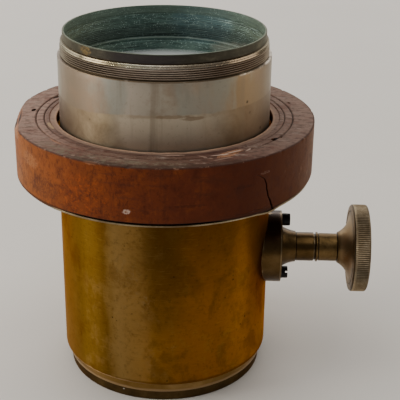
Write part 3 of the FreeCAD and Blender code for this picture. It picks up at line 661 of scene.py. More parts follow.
def old_wood():
    """Stained and waxed wood: orange left and dark right, partly stain and partly painted light and
    shade; a dusty rear face painted darker at the front; painted shade in its grooves, holes, splits
    and under its lower edge.
    """
    paint = Paint("old_wood", Specular_IOR_Level=0.07)
    grain_turn = (0, 0, math.radians(28))
    height = paint.height()
    radius = paint.radius()
    wander = paint.noise(24, 5, 0.6) * 0.1 + paint.noise(150, 6, 0.72) * 0.045
    turn = paint.facing() + (wander - 0.072)
    # The ramp round the ring is partly stain and partly painted light: brighter orange on the left
    # where the light falls, dark on the right as painted shade.
    tone = turn.ramp([
        (0.0, WOOD_BACK), (0.29, (0.31, 0.105, 0.026)), (0.34, (0.29, 0.088, 0.017)),
        (0.38, (0.265, 0.072, 0.014)), (0.42, (0.21, 0.052, 0.012)), (0.47, (0.175, 0.04, 0.011)),
        (0.53, (0.115, 0.026, 0.009)), (0.6, (0.074, 0.017, 0.006)), (0.67, (0.1, 0.03, 0.009)),
        (0.72, (0.17, 0.07, 0.028)), (1.0, WOOD_BACK)])
    tone = tone.stained((0.06, 0.013, 0.006), 0.62, 0.48, 0.68, 210, 6, 0.74, stretch=(1, 1, 0.8))
    # Orange blotches on the left side: stain that adds to the painted light there.
    glow = paint.noise(140, 6, 0.7, move=(2, 2, 7))
    glow = glow.step(0.5, 0.68) * turn.side(0.6, 0.44)
    tone = tone.blend(glow * 0.42, (0.36, 0.092, 0.018))
    flecks = (paint.noise(900, 4, 0.75, stretch=(1, 1, 0.6)).step(0.52, 0.66)
              * turn.side(0.58, 0.48))
    tone = tone.blend(flecks * 0.5, (0.055, 0.012, 0.005))
    speckled = (paint.near((-26, -51, 91), (13, 9, 8), 25, 0.3, 120)
                * paint.noise(750, 5, 0.75).step(0.47, 0.62))
    tone = tone.blend(speckled * 0.45, (0.42, 0.08, 0.014))
    tone = tone.stained((0.06, 0.017, 0.009), 0.4, 0.52, 0.72, 420, 5, 0.7, stretch=(1, 1, 0.12),
                        turn=grain_turn)
    pores = paint.noise(300, 5, 0.75, stretch=(0.16, 1, 1), turn=grain_turn)
    tone = tone.blend(pores.step(0.5, 0.68) * 0.45, (0.055, 0.018, 0.01))
    # Pale patches on the right edge: rubbed wood together with a painted grazing sheen.
    rubbed = paint.noise(300, 6, 0.75, stretch=(1, 1, 0.5), move=(3, 8, 2)).step(0.6, 0.72)
    rubbed = rubbed * turn.side(0.62, 0.69)
    tone = tone.blend(rubbed * 0.55, (0.34, 0.2, 0.13))
    upward = paint.part(paint.normal, 2)
    top = upward.step(0.35, 0.85)
    # The dust on the rear face is painted darker towards the front as shade.
    dust = turn.ramp([
        (0.0, DUST_BACK), (0.26, (0.34, 0.215, 0.165)), (0.36, (0.27, 0.165, 0.125)),
        (0.42, (0.185, 0.112, 0.082)), (0.5, (0.125, 0.07, 0.048)), (0.58, (0.12, 0.058, 0.042)),
        (0.64, (0.19, 0.115, 0.086)), (0.74, (0.26, 0.165, 0.125)), (1.0, DUST_BACK)])
    dust = dust.stained((0.15, 0.055, 0.038), 0.5, 0.5, 0.66, 110, 6, 0.7, move=(6, 6, 1))
    dust = dust.stained((0.04, 0.023, 0.018), 0.55, 0.46, 0.62, 520, 6, 0.75, stretch=(0.5, 1, 1),
                        turn=grain_turn)
    dust = dust.stained((0.32, 0.245, 0.195), 0.6, 0.53, 0.68, 240, 6, 0.75, stretch=(0.5, 1, 1),
                        turn=grain_turn, move=(3, 3, 3))
    worn_front = radius.past(0, 50.2, 52.0) * turn.zone(0.34, 0.4, 0.49, 0.545)
    worn_front = worn_front * paint.noise(420, 6, 0.75).step(0.44, 0.6)
    dust = dust.blend(worn_front * 0.8, (0.185, 0.15, 0.1))
    outer = radius.past(0, 53.4, 55.2) * turn.zone(0.39, 0.45, 0.57, 0.63)
    dust = dust.blend(outer * 0.65, (0.045, 0.025, 0.018))
    # Painted shade in a band around the inner groove of the rear face.
    inner_dark = radius.past(0, 46.6, 46.0) * radius.past(0, 43.3, 43.8)
    inner_dark = inner_dark * turn.side(0.64, 0.6)
    dust = dust.blend(inner_dark * 0.4, (0.06, 0.03, 0.024))
    inner = radius.past(0, 43.7, 43.2) * paint.noise(130, 6, 0.7).spread(0.1, 0.9)
    dust = dust.blend(inner, (0.36, 0.235, 0.165))
    dust = dust.stained((0.4, 0.31, 0.25), 0.55, 0.58, 0.68, 520, 5, 0.75, stretch=(0.25, 1, 1),
                        turn=grain_turn, move=(1, 4, 8))
    tone = tone.blend(top, dust)
    for centre, size, lean, strength, colour in MARKS:
        mark = paint.near(centre, size, lean, 0.7 if size[1] > 1 else 0.35, 900)
        if size[1] > 1:
            mark = mark * paint.noise(1300, 4, 0.7).step(0.36, 0.56)
        tone = tone.blend(mark * strength, colour)
    ragged = radius + paint.noise(330) * (1.1 * MM)
    lip = ragged.past(WOOD_BORE, 1.55, 1.25) * height.past(WOOD_TOP, -1.5, -1.0)
    lip = lip * paint.noise(75, 4).step(0.42, 0.58).spread(0.55, 1.0)
    tone = tone.blend(lip, (0.46, 0.285, 0.185))
    bore = radius.past(WOOD_BORE, 0.3, 0.1) * height.past(WOOD_TOP, -0.9, -1.3)
    tone = tone.blend(bore, (0.1, 0.032, 0.014))
    rim = radius.past(WOOD_R, -0.75, -0.35) * height.past(WOOD_TOP, -0.65, -0.25)
    chips = paint.noise(260, 6, 0.75, move=(9, 1, 1)).step(0.55, 0.66)
    tone = tone.blend(rim * 0.7, paint.mix(chips, (0.06, 0.028, 0.02), (0.3, 0.17, 0.11)))
    # Painted shade in the turned grooves of the rear face, strongest in their bottoms and weaker at
    # the front.
    sunk = (height.past(WOOD_TOP, -0.1, -0.38)
            * (radius.past(WOOD_R, -1.3, -1.8) * radius.past(0, 44.3, 44.7)))
    groove_shade = abs(turn - 0.5).step(0.1, 0.26).spread(0.15, 0.8)
    groove_shade = groove_shade * paint.noise(70, 5, 0.7).spread(0.4, 1.3)
    groove_shade = groove_shade.larger(height.past(WOOD_TOP, -0.6, -0.9))
    tone = tone.blend(sunk * groove_shade, (0.028, 0.016, 0.012))
    # Painted near-black shade deep inside the wood: in the split, the splinter and the nail holes.
    inside = radius.past(WOOD_R, -0.12, -0.4) * height.past(WOOD_TOP, -2.2, -3.2)
    tone = tone.blend(inside, (0.01, 0.005, 0.004))
    # Painted shade along the wood's lower edge, where it stands off the flange.
    shut = height.past(WOOD_LOW, 1.4, 0.9)
    tone = tone.blend(shut * 0.7, (0.03, 0.012, 0.007))
    paint.bump(pores, 0.08)
    paint.bump(paint.noise(210, 6, 0.7), 0.1)
    paint.bump(paint.noise(75, 5, 0.6), 0.25)
    rough = paint.noise(85, 5, 0.6).spread(0.4, 0.62) + top * 0.22
    return paint.done(tone, rough)


def rear_cell_finish():
    """Ringed brown thread, bright beads with a painted highlight and painted shade between them, dark
    collar, and a verdigris inner wall with painted shade at its foot and a pale ring painted as light
    on the ledge.
    """
    paint = Paint("rear_cell_finish", Specular_Tint=(0.85, 0.84, 0.74, 1.0))
    radius = paint.radius()
    height = paint.height()
    turn = paint.facing()
    crest = radius.past(THREAD_R, -0.45, -0.12)
    groove_tone = paint.noise(140, 6, 0.65).ramp([
        (0.3, (0.03, 0.018, 0.01)), (0.55, (0.06, 0.036, 0.018)), (0.75, (0.1, 0.065, 0.035))])
    crest_tone = paint.noise(90, 6, 0.65, stretch=(1, 1, 2)).ramp([
        (0.3, (0.19, 0.135, 0.095)), (0.55, (0.31, 0.25, 0.195)), (0.75, (0.46, 0.4, 0.33))])
    browner = turn.side(0.5, 0.6) * 0.7
    crest_tone = crest_tone.blend(browner, (0.14, 0.092, 0.058))
    dirty = turn.side(0.465, 0.4) * 0.75
    crest_tone = crest_tone.blend(dirty, (0.07, 0.052, 0.034))
    tone = groove_tone.blend(crest, crest_tone)
    neck = height.past(THREAD_LOW, 0.1, -0.1)
    tone = tone.blend(neck, (0.13, 0.098, 0.056))
    bead = height.past(THREAD_HIGH, -0.05, 0.05) * height.past(COLLAR_STEP, -0.1, -0.22)
    # The beads' colour round the cell is polished brass with a painted highlight at the front left.
    bead_polish_and_highlight = turn.ramp([
        (0.0, (0.2, 0.17, 0.11)), (0.3, (0.22, 0.2, 0.15)), (0.36, (0.3, 0.26, 0.18)),
        (0.42, (0.34, 0.27, 0.16)), (0.44, (0.75, 0.64, 0.4)), (0.455, (1.0, 0.92, 0.66)),
        (0.485, (1.0, 0.94, 0.74)), (0.51, (0.8, 0.7, 0.55)), (0.54, (0.6, 0.5, 0.36)),
        (0.62, (0.28, 0.21, 0.14)), (1.0, (0.2, 0.17, 0.11))])
    bead_polish_and_highlight = bead_polish_and_highlight.stained((0.14, 0.09, 0.05), 0.2, 0.5, 0.7, 200, 6, 0.7)
    # Painted shade in the groove between the two beads.
    bead_gap_shade = radius.past(BEAD_R, -0.2, -0.3)
    bead_polish_and_highlight = bead_polish_and_highlight.blend(bead_gap_shade * 0.85, (0.055, 0.036, 0.014))
    tone = tone.blend(bead, bead_polish_and_highlight)
    collar = paint.noise(120, 6, 0.7, stretch=(1, 1, 2)).ramp([
        (0.3, (0.03, 0.027, 0.021)), (0.55, (0.06, 0.054, 0.04)), (0.75, (0.12, 0.108, 0.075))])
    bluish = turn.zone(0.4, 0.46, 0.5, 0.56)
    collar = collar.blend(bluish * 0.6, (0.05, 0.044, 0.052))
    patch = (paint.near((-25.7, -27.8, 135.7), (2.9, 1.8, 1.7), -43, 0.4, 700)
             * paint.noise(800, 4, 0.7).step(0.4, 0.56).spread(0.15, 1.0))
    collar = collar.blend(patch, (0.15, 0.105, 0.045))
    tone = tone.blend(height.past(COLLAR_STEP, 0.02, 0.12), collar)
    rim = height.past(REAR_TOP, -0.28, -0.12)
    tone = tone.blend(rim, (0.06, 0.068, 0.05))
    inside = radius.past(COLLAR_BORE, 0.25, 0.12)
    verdigris = paint.noise(70, 7, 0.72, stretch=(1, 1, 3)).ramp([
        (0.32, (0.045, 0.088, 0.074)), (0.5, (0.085, 0.15, 0.13)), (0.68, (0.15, 0.23, 0.195))])
    ends = abs(turn - 0.5).step(0.45, 0.25)
    verdigris = verdigris.blend(ends * 0.75, (0.14, 0.15, 0.075))
    blue = paint.near((14, 36, 131), (14, 14, 9), 0, 0.3, 90)
    verdigris = verdigris.blend(blue * 0.5, (0.075, 0.15, 0.175))
    verdigris = verdigris.stained((0.018, 0.032, 0.03), 0.75, 0.48, 0.62, 90, 6, 0.75,
                                  stretch=(1, 1, 20))
    verdigris = verdigris.stained((0.26, 0.36, 0.31), 0.75, 0.53, 0.66, 160, 6, 0.75,
                                  stretch=(1, 1, 14), move=(0, 3, 1))
    speckle = paint.cells(1300, stretch=(1, 1, 1.4))
    speckle_mask = speckle.step(0.36, 0.14) * paint.noise(330, 5, 0.7).step(0.44, 0.55)
    verdigris = verdigris.blend(speckle_mask * 0.8, (0.5, 0.66, 0.6))
    mouth = height.past(COLLAR_STEP, -0.1, 0.1) * inside
    mouth_tone = paint.noise(60, 6, 0.7, stretch=(1, 1, 3)).ramp([
        (0.3, (0.075, 0.11, 0.085)), (0.6, (0.125, 0.17, 0.13))])
    verdigris = verdigris.blend(mouth * 0.55, mouth_tone)
    sunk = height + paint.noise(80, 5, 0.7) * (3 * MM)
    # Painted shade at the foot of the inner wall, just above the lock ring.
    dim = sunk.past(LOCK_TOP, 8.5, 4.0) * height.past(LOCK_TOP, -0.1, 0.1)
    verdigris = verdigris.blend(dim * 0.6, (0.014, 0.024, 0.022))
    dusty = paint.near((28, 20, 122), (14, 14, 4), 30, 0.5, 120)
    verdigris = verdigris.blend(dusty * 0.5, (0.22, 0.215, 0.17))
    # A pale ring painted on the ledge as light falling on it.
    ledge = (radius.past(0, 35.9, 35.6)
             * (radius.past(0, 35.2, 35.35) * height.past(LOCK_TOP, -0.5, -0.2)))
    ledge = ledge * paint.noise(60, 4).spread(0.0, 0.9)
    verdigris = verdigris.blend(ledge, (0.3, 0.34, 0.29))
    tone = tone.blend(inside, verdigris)
    paint.bump(paint.noise(60, 6, 0.7, stretch=(1, 1, 30)), 0.03)
    paint.bump(speckle_mask, 0.03)
    paint.put("Metallic", 0.9 - inside * 0.65)
    rough = paint.noise(100, 5).spread(0.3, 0.46) + inside * 0.18
    rough = rough - bead * 0.2
    return paint.done(tone, rough)


def dark_ring_finish():
    """Nearly black front rim with a browner upper edge and a little wear."""
    paint = Paint("dark_ring_finish", Metallic=0.85, Specular_Tint=(0.55, 0.42, 0.26, 1.0))
    tone = paint.noise(110, 6, 0.65).ramp([
        (0.3, (0.036, 0.022, 0.009)), (0.55, (0.082, 0.05, 0.018)), (0.78, (0.16, 0.1, 0.04))])
    height = paint.height()
    ragged = height + paint.noise(300) * (0.7 * MM)
    tone = tone.blend(ragged.past(0, 3.9, 4.3) * 0.7, (0.2, 0.13, 0.07))
    nick = paint.near((-13.9, -36.4, 2.9), (0.35, 0.5, 0.3), 0, 0.2, 900)
    tone = tone.blend(nick, (0.6, 0.58, 0.52))
    paint.bump(paint.noise(55, 5, 0.65, stretch=(1, 1, 26)), 0.02)
    return paint.done(tone, paint.noise(90, 5).spread(0.32, 0.5))


def patinated_brass():
    """Dull bronze-brown patina: painted shade on the flare and in the grooves, a cove painted lighter,
    lighter on worn edges, dirt in the knurling.
    """
    paint = Paint("patinated_brass", Metallic=1.0)
    brushed_round(paint, 0.25, "X")
    tone = paint.noise(150, 6, 0.65).ramp([
        (0.3, (0.1, 0.06, 0.02)), (0.52, (0.16, 0.098, 0.036)), (0.75, (0.24, 0.155, 0.066))])
    tone = tone.stained((0.05, 0.03, 0.012), 0.6, 0.5, 0.68, 330, 6, 0.7)
    x = paint.part(paint.position, 0)
    reach = paint.radius(from_shaft=True)
    cap = x.past(CAP_HIGH[0], 0.2, -0.2)
    tone = tone.blend(cap * 0.6, (0.05, 0.026, 0.008))
    # Painted shade on the flared sleeve and the plate near the shaft.
    flare_shade = x.past(CAP_LOW[0], 5.2, 1.0)
    flare_shade = flare_shade * reach.past(0, 9.5, 8.6)
    tone = tone.blend(flare_shade * 0.55, (0.06, 0.035, 0.012))
    band = x.past(KNOB_LOW[0], 12.6, 13.0)
    disc = paint.noise(260, 6, 0.7).ramp([
        (0.3, (0.2, 0.145, 0.088)), (0.52, (0.35, 0.27, 0.17)), (0.7, (0.5, 0.41, 0.28))])
    tone = tone.blend(band, disc)
    face = x.past(KNOB_HIGH[0], -1.0, -0.7) * 0.75
    tone = tone.blend(face, (0.17, 0.115, 0.055))
    # Painted light: the cove is made lighter where it reflects the dark barrel.
    cove = x.past(KNOB_LOW[0], 7.6, 9.0) * x.past(KNOB_LOW[0], 12.6, 12.3)
    tone = tone.blend(cove * 0.75, (0.4, 0.28, 0.15))
    height = paint.height()
    shade = height.past(SHAFT_Z, 2, 12) * x.past(HOUSING_HIGH[0], 1.0, 0.4)
    tone = tone.blend(shade * 0.85, (0.04, 0.018, 0.01))
    # Painted shade in the grooves across the shaft.
    for low, high in GROOVE_SHADE_BANDS:
        groove = x.past(low, -0.06, 0.06) * x.past(high, 0.06, -0.06)
        tone = tone.blend(groove * 0.9, (0.014, 0.008, 0.004))
    knurled = x.past(KNOB_LOW[0], 13.9, 14.2) * reach.past(KNOB_R, -0.03, -0.16)
    knurled = knurled * reach.past(KNOB_R, -1.0, -0.6)
    knurled = knurled * paint.noise(110, 5, 0.7).spread(0.3, 0.9)
    tone = tone.blend(knurled, (0.05, 0.033, 0.016))
    pointy = paint.wire("ShaderNodeNewGeometry", {}, output="Pointiness")
    tone = tone.blend(pointy.step(0.53, 0.6) * 0.8, (0.44, 0.33, 0.19))
    polished = x.past(KNOB_LOW[0], 1.0, -2.0)
    paint.bump(paint.noise(60, 5, 0.65, stretch=(30, 1, 1)), 0.02)
    paint.bump(paint.noise(900, 4, 0.6), 0.012)
    rough = paint.noise(140, 6, 0.6).spread(0.38, 0.56) - polished * 0.14
    return paint.done(tone, rough)


def blued_steel():
    """Oily black screw steel."""
    paint = Paint("blued_steel", Metallic=0.6, Specular_IOR_Level=0.3)
    tone = paint.noise(500, 5, 0.6).ramp([(0.3, (0.003, 0.003, 0.0035)), (0.7, (0.012, 0.011, 0.011))])
    paint.bump(paint.noise(1500, 4, 0.6), 0.01)
    return paint.done(tone, paint.noise(300, 5).spread(0.32, 0.5))


def machined_metal(name, dark, light):
    """Plain machined metal for the drive inside."""
    paint = Paint(name, Metallic=1.0)
    tone = paint.noise(220, 5, 0.6).ramp([(0.3, dark), (0.7, light)])
    paint.bump(paint.noise(200, 5, 0.6, stretch=(1, 1, 8)), 0.01)
    return paint.done(tone, paint.noise(180, 5).spread(0.28, 0.42))


def optical_glass(name, clear, tint, sheen):
    """Old glass with a dusty haze; clear is the share of light let through.

    The coat stands for the reflections of all the faces behind the first one.
    """
    paint = Paint(name, IOR=1.52, Transmission_Weight=clear, Coat_Weight=sheen, Coat_IOR=1.6,
                  Coat_Roughness=0.05)
    tone = paint.noise(60, 6, 0.7).ramp([(0.3, tint), (0.7, tuple(c * 0.93 for c in tint))])
    return paint.done(tone, paint.noise(150, 6, 0.7).spread(0.03, 0.09))


LACQUER = lacquered_brass()
FLANGE_METAL = flange_metal()
SILVERED = silvered_brass()
WOOD = old_wood()
REAR_FINISH = rear_cell_finish()
DARK_RING = dark_ring_finish()
PATINA = patinated_brass()
BLUED = blued_steel()
MACHINED_BRASS = machined_metal("machined_brass", (0.42, 0.27, 0.08), (0.62, 0.44, 0.17))
GROUND_STEEL = machined_metal("ground_steel", (0.28, 0.27, 0.26), (0.45, 0.44, 0.43))
REAR_GLASS = optical_glass("hazy_glass", 0.18, (0.97, 1.0, 0.98), 0.5)
GLASS = optical_glass("optical_glass", 0.95, (0.92, 0.95, 0.93), 0.0)


# ---- tube and barrel ------------------------------------------------------------------------------

def focusing_tube():
    """The silvered tube, with its turned-down foot and the pinion's slot."""
    foot = TUBE_R - 0.5 * MM
    foot_top = 9.0 * MM

    def dents(radius, height, angle):
        if radius > foot + 0.1 * MM:
            spot = Vector(around(radius, angle, height))
            radius -= dent(0.03, spot * 60)
        return radius, height

    piece = turned("focus_tube", [
        (TUBE_BORE, TUBE_LOW), (foot, TUBE_LOW, 0.2 * MM), (foot, foot_top),
        (TUBE_R, foot_top, 0.1 * MM), (TUBE_R, TUBE_TOP, 0.35 * MM), (TUBE_BORE, TUBE_TOP)],
        256, 2.5 * MM, dents)
    low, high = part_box("focus_rack")
    carve(piece, block("slot_cut", (low[0] - 2 * MM, -PINION_ROOM, low[2] - 0.1 * MM),
                       (TUBE_R + 2 * MM, high[1] + 0.05 * MM, high[2] + 0.1 * MM)))
    install(piece, "inner_barrel", "focusing_tube", SILVERED)


def outer_barrel():
    """The lacquered barrel, with the hole for the pinion."""
    def dents(radius, height, angle):
        if radius > BARREL_R - 0.5 * MM:
            spot = Vector(around(1, angle, height * 18))
            radius -= dent(0.03, spot * 2.2)
        return radius, height

    piece = turned("outer_barrel_wall", [
        (BARREL_BORE, BARREL_LOW, 0.1 * MM), (BARREL_R, BARREL_LOW, 0.4 * MM),
        (BARREL_R, BARREL_TOP, 0.2 * MM), (BARREL_BORE, BARREL_TOP, 0.1 * MM)],
        256, 2.5 * MM, dents)
    carve(piece, plug("pinion_hole", PINION_ROOM, BARREL_R - 4 * MM, BARREL_R + 4 * MM, 48,
                      along_x=True))
    install(piece, "outer_assembly", "outer_barrel", LACQUER)


def degrees_from(turn, centre):
    """Signed angle from centre to turn, in degrees."""
    return (turn - centre + 180) % 360 - 180


def mounting_flange():
    """Thin plate under the wood, sprung down at one place beside the housing."""
    sprung_side, drop = -45.5, 0.8 * MM

    def sprung(radius, height, angle):
        away = degrees_from(math.degrees(angle), sprung_side)
        fall = math.exp(-(away / (5.0 if away < 0 else 4.5)) ** 2)
        return radius, height - drop * fall * (radius - BARREL_R) / (FLANGE_R - BARREL_R)

    piece = turned("flange_plate", [
        (BARREL_R, FLANGE_LOW), (FLANGE_R, FLANGE_LOW, 0.2 * MM), (FLANGE_R, FLANGE_TOP, 0.2 * MM),
        (BARREL_R, FLANGE_TOP)], 360, 2.5 * MM, sprung)
    head, shank = 2.6 * MM, 1.25 * MM
    holes = []
    for direction in (45, 135, 225, 315):
        holes.append(lathe("screw_hole", [
            (0, FLANGE_LOW - 2 * MM), (head, FLANGE_LOW - 2 * MM), (head, FLANGE_LOW),
            (shank, FLANGE_TOP), (shank, FLANGE_TOP + 1 * MM), (0, FLANGE_TOP + 1 * MM)], 24))
        move_out(holes[-1], SCREW_CIRCLE, direction)
    carve(piece, *holes)
    install(piece, "outer_assembly", "mounting_flange", FLANGE_METAL)


# ---- wood ring ------------------------------------------------------------------------------------

def lower_edge(turn):
    """How far the wood's lower outer edge stands off the flange, by direction in degrees."""
    shut = math.exp(-(degrees_from(turn, -51.0) / 15.0) ** 4)
    shut = max(shut, limited((-118 - degrees_from(turn, 0)) / 16))
    return (0.85 * (1 - shut) + 0.08) * MM


def wood_shape(radius, height, angle):
    """Worn and chipped edges, and a lower edge that stands off the flange."""
    spot = Vector(around(radius, angle, height))
    turn = math.degrees(angle)
    if radius > WOOD_R - 4.2 * MM and height > WOOD_LOW + 0.3 * MM:
        above = (height - WOOD_LOW - LIFT) / (4 * MM)
        height += (lower_edge(turn) - LIFT) * limited(1 - above)
    if radius > WOOD_R - 0.05 * MM:
        radius -= dent(0.02, spot * 90)
    near_top = max(0.0, 1 - (WOOD_TOP - height) / (1.6 * MM))
    near_rim = max(0.0, 1 - (WOOD_R - radius) / (2.0 * MM))
    chip = max(0.0, noise.noise(spot * 420 + Vector((7, 3, 1))) - 0.32)
    chip += max(0.0, noise.noise(spot * 160 + Vector((1, 9, 4))) - 0.36) * 1.4
    if near_top > 0 and near_rim > 0:
        radius -= chip * near_top * near_rim * 0.7 * MM
        height -= chip * near_top * near_rim * 0.9 * MM
    worn = math.exp(-(degrees_from(turn, -173) / 13) ** 2)
    radius = min(radius, (WOOD_R - 3.0 * MM * worn) + (WOOD_TOP - height) * 0.75)
    if radius < WOOD_BORE + 1.6 * MM and height > WOOD_TOP - 0.9 * MM:
        height -= 0.22 * MM * max(0.0, noise.noise(spot * 240))
    return radius, height


def wood_ring():
    """Turned ring with lathe grooves, a stepped lip, nail holes, splits and worn edges."""
    top, sunk = WOOD_TOP, WOOD_TOP - 0.3 * MM
    step_r = WOOD_R - 4 * MM
    corners = [
        (WOOD_BORE, WOOD_LOW, 0.2 * MM), (step_r, WOOD_LOW), (step_r, WOOD_LOW + LIFT),
        (WOOD_R, WOOD_LOW + LIFT, 0.35 * MM), (WOOD_R, top, 0.35 * MM)]
    for groove, width, depth in ((48.8, 0.55, 0.5), (45.7, 0.45, 0.42)):
        corners += [((groove + width) * MM, top, 0.1 * MM), (groove * MM, top - depth * MM),
                    ((groove - width) * MM, top, 0.1 * MM)]
    corners += [(43.95 * MM, top, 0.12 * MM), (43.75 * MM, sunk), (WOOD_BORE, sunk, 0.12 * MM)]
    piece = turned("wood_ring_turned", corners, 900, 0.6 * MM, wood_shape)
    cutters = []
    for reach, direction, size, longer, lean in NAIL_HOLES:
        size *= MM
        hole = lathe("nail_hole", [
            (0, top - 6 * MM), (size * 0.5, top - 6 * MM), (size, top - 0.4 * MM),
            (size * 1.3, top + 0.5 * MM), (0, top + 0.5 * MM)], 14)
        hole.data.transform(Matrix.Rotation(math.radians(lean), 4, "Z")
                            @ Matrix.Diagonal((longer, 1, 1, 1)))
        move_out(hole, reach, direction)
        cutters.append(hole)
    carve(piece, *cutters, split_cutter("crack", CRACK, 3.6 * MM, upright=True),
          split_cutter("splinter", SPLINTER, 1.2 * MM, upright=False))
    install(piece, "outer_assembly", "wood_ring", WOOD)


def split_cutter(name, path, depth, upright):
    """Jagged wedge that opens a split in the wood's side, wide outside and closed inside."""
    rng = random.Random(11)
    pieces = 4
    line = []
    for start, finish in zip(path, path[1:]):
        for part in range(pieces):
            t = part / pieces
            jag = rng.uniform(-0.10, 0.10)
            turn, height, half = (a + (b - a) * t for a, b in zip(start, finish))
            line.append((turn + jag, height, half) if upright else (turn, height + jag, half))
    line.append(path[-1])
    vertices = []
    for turn, height, half in line:
        for reach, side in ((WOOD_R + 0.6 * MM, 1), (WOOD_R + 0.6 * MM, -1), (WOOD_R - depth, 0)):
            swing = math.degrees(side * half * MM / WOOD_R) if upright else 0
            rise = 0 if upright else side * half
            vertices.append(around(reach, math.radians(turn + swing), (height + rise) * MM))
    faces = [(0, 1, 2), tuple(3 * len(line) - 1 - k for k in range(3))]
    for first in range(0, 3 * (len(line) - 1), 3):
        for corner in range(3):
            here, beside = first + corner, first + (corner + 1) % 3
            faces.append((here, beside, beside + 3, here + 3))
    return finish_mesh(name, new_mesh(name, vertices, faces))


# ---- cells and glass ------------------------------------------------------------------------------

def rear_cell():
    """Spigot, fine outside thread, two bright beads, dark collar and a ringed inner wall."""
    bead, neck = BEAD_R, 38.5 * MM
    ledge = REAR_LOW + 2 * MM
    ring_pitch = 0.72 * MM
    corners = [
        (RING_OPENING, REAR_LOW), (TUBE_BORE, REAR_LOW), (TUBE_BORE, TUBE_TOP),
        (neck, TUBE_TOP), (neck, THREAD_LOW)]
    for turn in range(5):
        base = THREAD_LOW + THREAD_PITCH * turn
        corners += [(THREAD_R, base + 0.3 * THREAD_PITCH, 0.05 * MM),
                    (THREAD_R, base + 0.62 * THREAD_PITCH, 0.05 * MM),
                    (neck, base + THREAD_PITCH)]
    corners += [
        (bead - 0.35 * MM, THREAD_HIGH + 0.04 * MM), (bead, THREAD_HIGH + 0.12 * MM, 0.05 * MM),
        (bead - 0.18 * MM, THREAD_HIGH + 0.64 * MM, 0.08 * MM),
        (bead - 0.42 * MM, THREAD_HIGH + 0.74 * MM), (bead, THREAD_HIGH + 0.86 * MM, 0.05 * MM),
        (bead - 0.18 * MM, THREAD_HIGH + 1.38 * MM, 0.12 * MM),
        (COLLAR_R, COLLAR_STEP), (COLLAR_R, REAR_TOP, 0.3 * MM),
        (COLLAR_BORE, REAR_TOP, 0.15 * MM), (COLLAR_BORE, COLLAR_STEP),
        (CELL_BORE, COLLAR_STEP), (CELL_BORE, ledge), (RING_OPENING, ledge)]

    def turning(radius, height, angle):
        if abs(radius - CELL_BORE) < 0.05 * MM and LOCK_TOP < height < COLLAR_STEP - 0.2 * MM:
            radius += 0.1 * MM * wave(2 * math.pi * height / ring_pitch)
            radius += 0.05 * MM * noise.noise(Vector((height * 2200, 0.5, angle * 0.4)))
        if radius > THREAD_R - 1.2 * MM and height > COLLAR_STEP:
            radius -= dent(0.03, Vector((angle * 3, height * 900, 2.0)))
        return radius, height

    piece = turned("rear_cell_ring", corners, 320, 0.1 * MM, turning)
    install(piece, "inner_barrel", "rear_cell", REAR_FINISH)


def rear_lock_ring():
    """Stepped ring that keeps the rear glass in its cell."""
    step_r, step_z = 35.4 * MM, LOCK_TOP - 1.2 * MM
    piece = turned("rear_lock_ring", [
        (RING_OPENING, LOCK_LOW), (CELL_BORE, LOCK_LOW), (CELL_BORE, LOCK_TOP, 0.15 * MM),
        (step_r, LOCK_TOP, 0.25 * MM), (step_r, step_z), (RING_OPENING, step_z, 0.3 * MM)],
        256, 0.6 * MM)
    install(piece, "inner_barrel", "rear_retaining_ring", REAR_FINISH)


def front_cell():
    """Front rim with a flared mouth."""
    piece = turned("front_cell_ring", [
        (37.4 * MM, 0, 0.25 * MM), (FRONT_R, 0, 0.35 * MM), (FRONT_R, TUBE_LOW, 0.35 * MM),
        (TUBE_BORE, TUBE_LOW), (TUBE_BORE, FRONT_TOP), (CELL_BORE, FRONT_TOP),
        (CELL_BORE, FRONT_SEAT), (FRONT_OPENING, FRONT_SEAT), (FRONT_OPENING, 7.6 * MM, 0.2 * MM),
        (36.4 * MM, 4.6 * MM)], 256, 0.8 * MM)
    install(piece, "inner_barrel", "front_cell", DARK_RING)


def cap_points(reach, height, sag, steps=14):
    """Points of a spherical face from the axis out to reach; sag is its signed bulge."""
    curve = (reach ** 2 + sag ** 2) / (2 * abs(sag))
    points = []
    for step in range(steps + 1):
        r = reach * step / steps
        drop = curve - math.sqrt(curve ** 2 - r ** 2)
        points.append((r, height + sag - math.copysign(drop, sag)))
    return points


def lens(name, node, bottom, top, clear, material):
    """A glass element with a flat ground rim between bottom and top, bulging to the node's ends."""
    low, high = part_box(node)
    outline = cap_points(clear, bottom, low[2] - bottom) + [(GLASS_R, bottom), (GLASS_R, top)]
    outline += reversed(cap_points(clear, top, high[2] - top))
    install(lathe(name, outline, 160), "inner_barrel", node, material)


# ---- housing, bearing cap, screws and knob --------------------------------------------------------

def pinion_housing():
    """Round boss seated on the barrel."""
    low, high = HOUSING_LOW[0] - 1 * MM, HOUSING_HIGH[0]
    piece = turned("housing_boss", [
        (0, low), (HOUSING_R, low), (HOUSING_R, high, 0.2 * MM), (0, high)], 128, 1.2 * MM,
        along_x=True)
    carve(piece, plug("barrel_cut", BARREL_R, 0, BARREL_TOP, 256),
          plug("bore_cut", PINION_ROOM, BARREL_R - 6 * MM, high + 1 * MM, 48, along_x=True))
    install(piece, "outer_assembly", "pinion_housing", PATINA)


def arc(start, finish, reach, steps):
    """Points of the arc that dips towards the axis between two (radius, place) points."""
    first, last = Vector(start), Vector(finish)
    chord = last - first
    side = Vector((-chord.y, chord.x)).normalized()
    side *= math.sqrt(reach ** 2 - (chord.length / 2) ** 2)
    middle = (first + last) / 2
    centre = middle - side if (middle - side).x >= first.x else middle + side
    begin = math.atan2(first.y - centre.y, first.x - centre.x)
    end = math.atan2(last.y - centre.y, last.x - centre.x)
    swing = (end - begin + math.pi) % (2 * math.pi) - math.pi
    return [(centre.x + reach * math.cos(begin + swing * step / steps),
             centre.y + reach * math.sin(begin + swing * step / steps))
            for step in range(1, steps)]


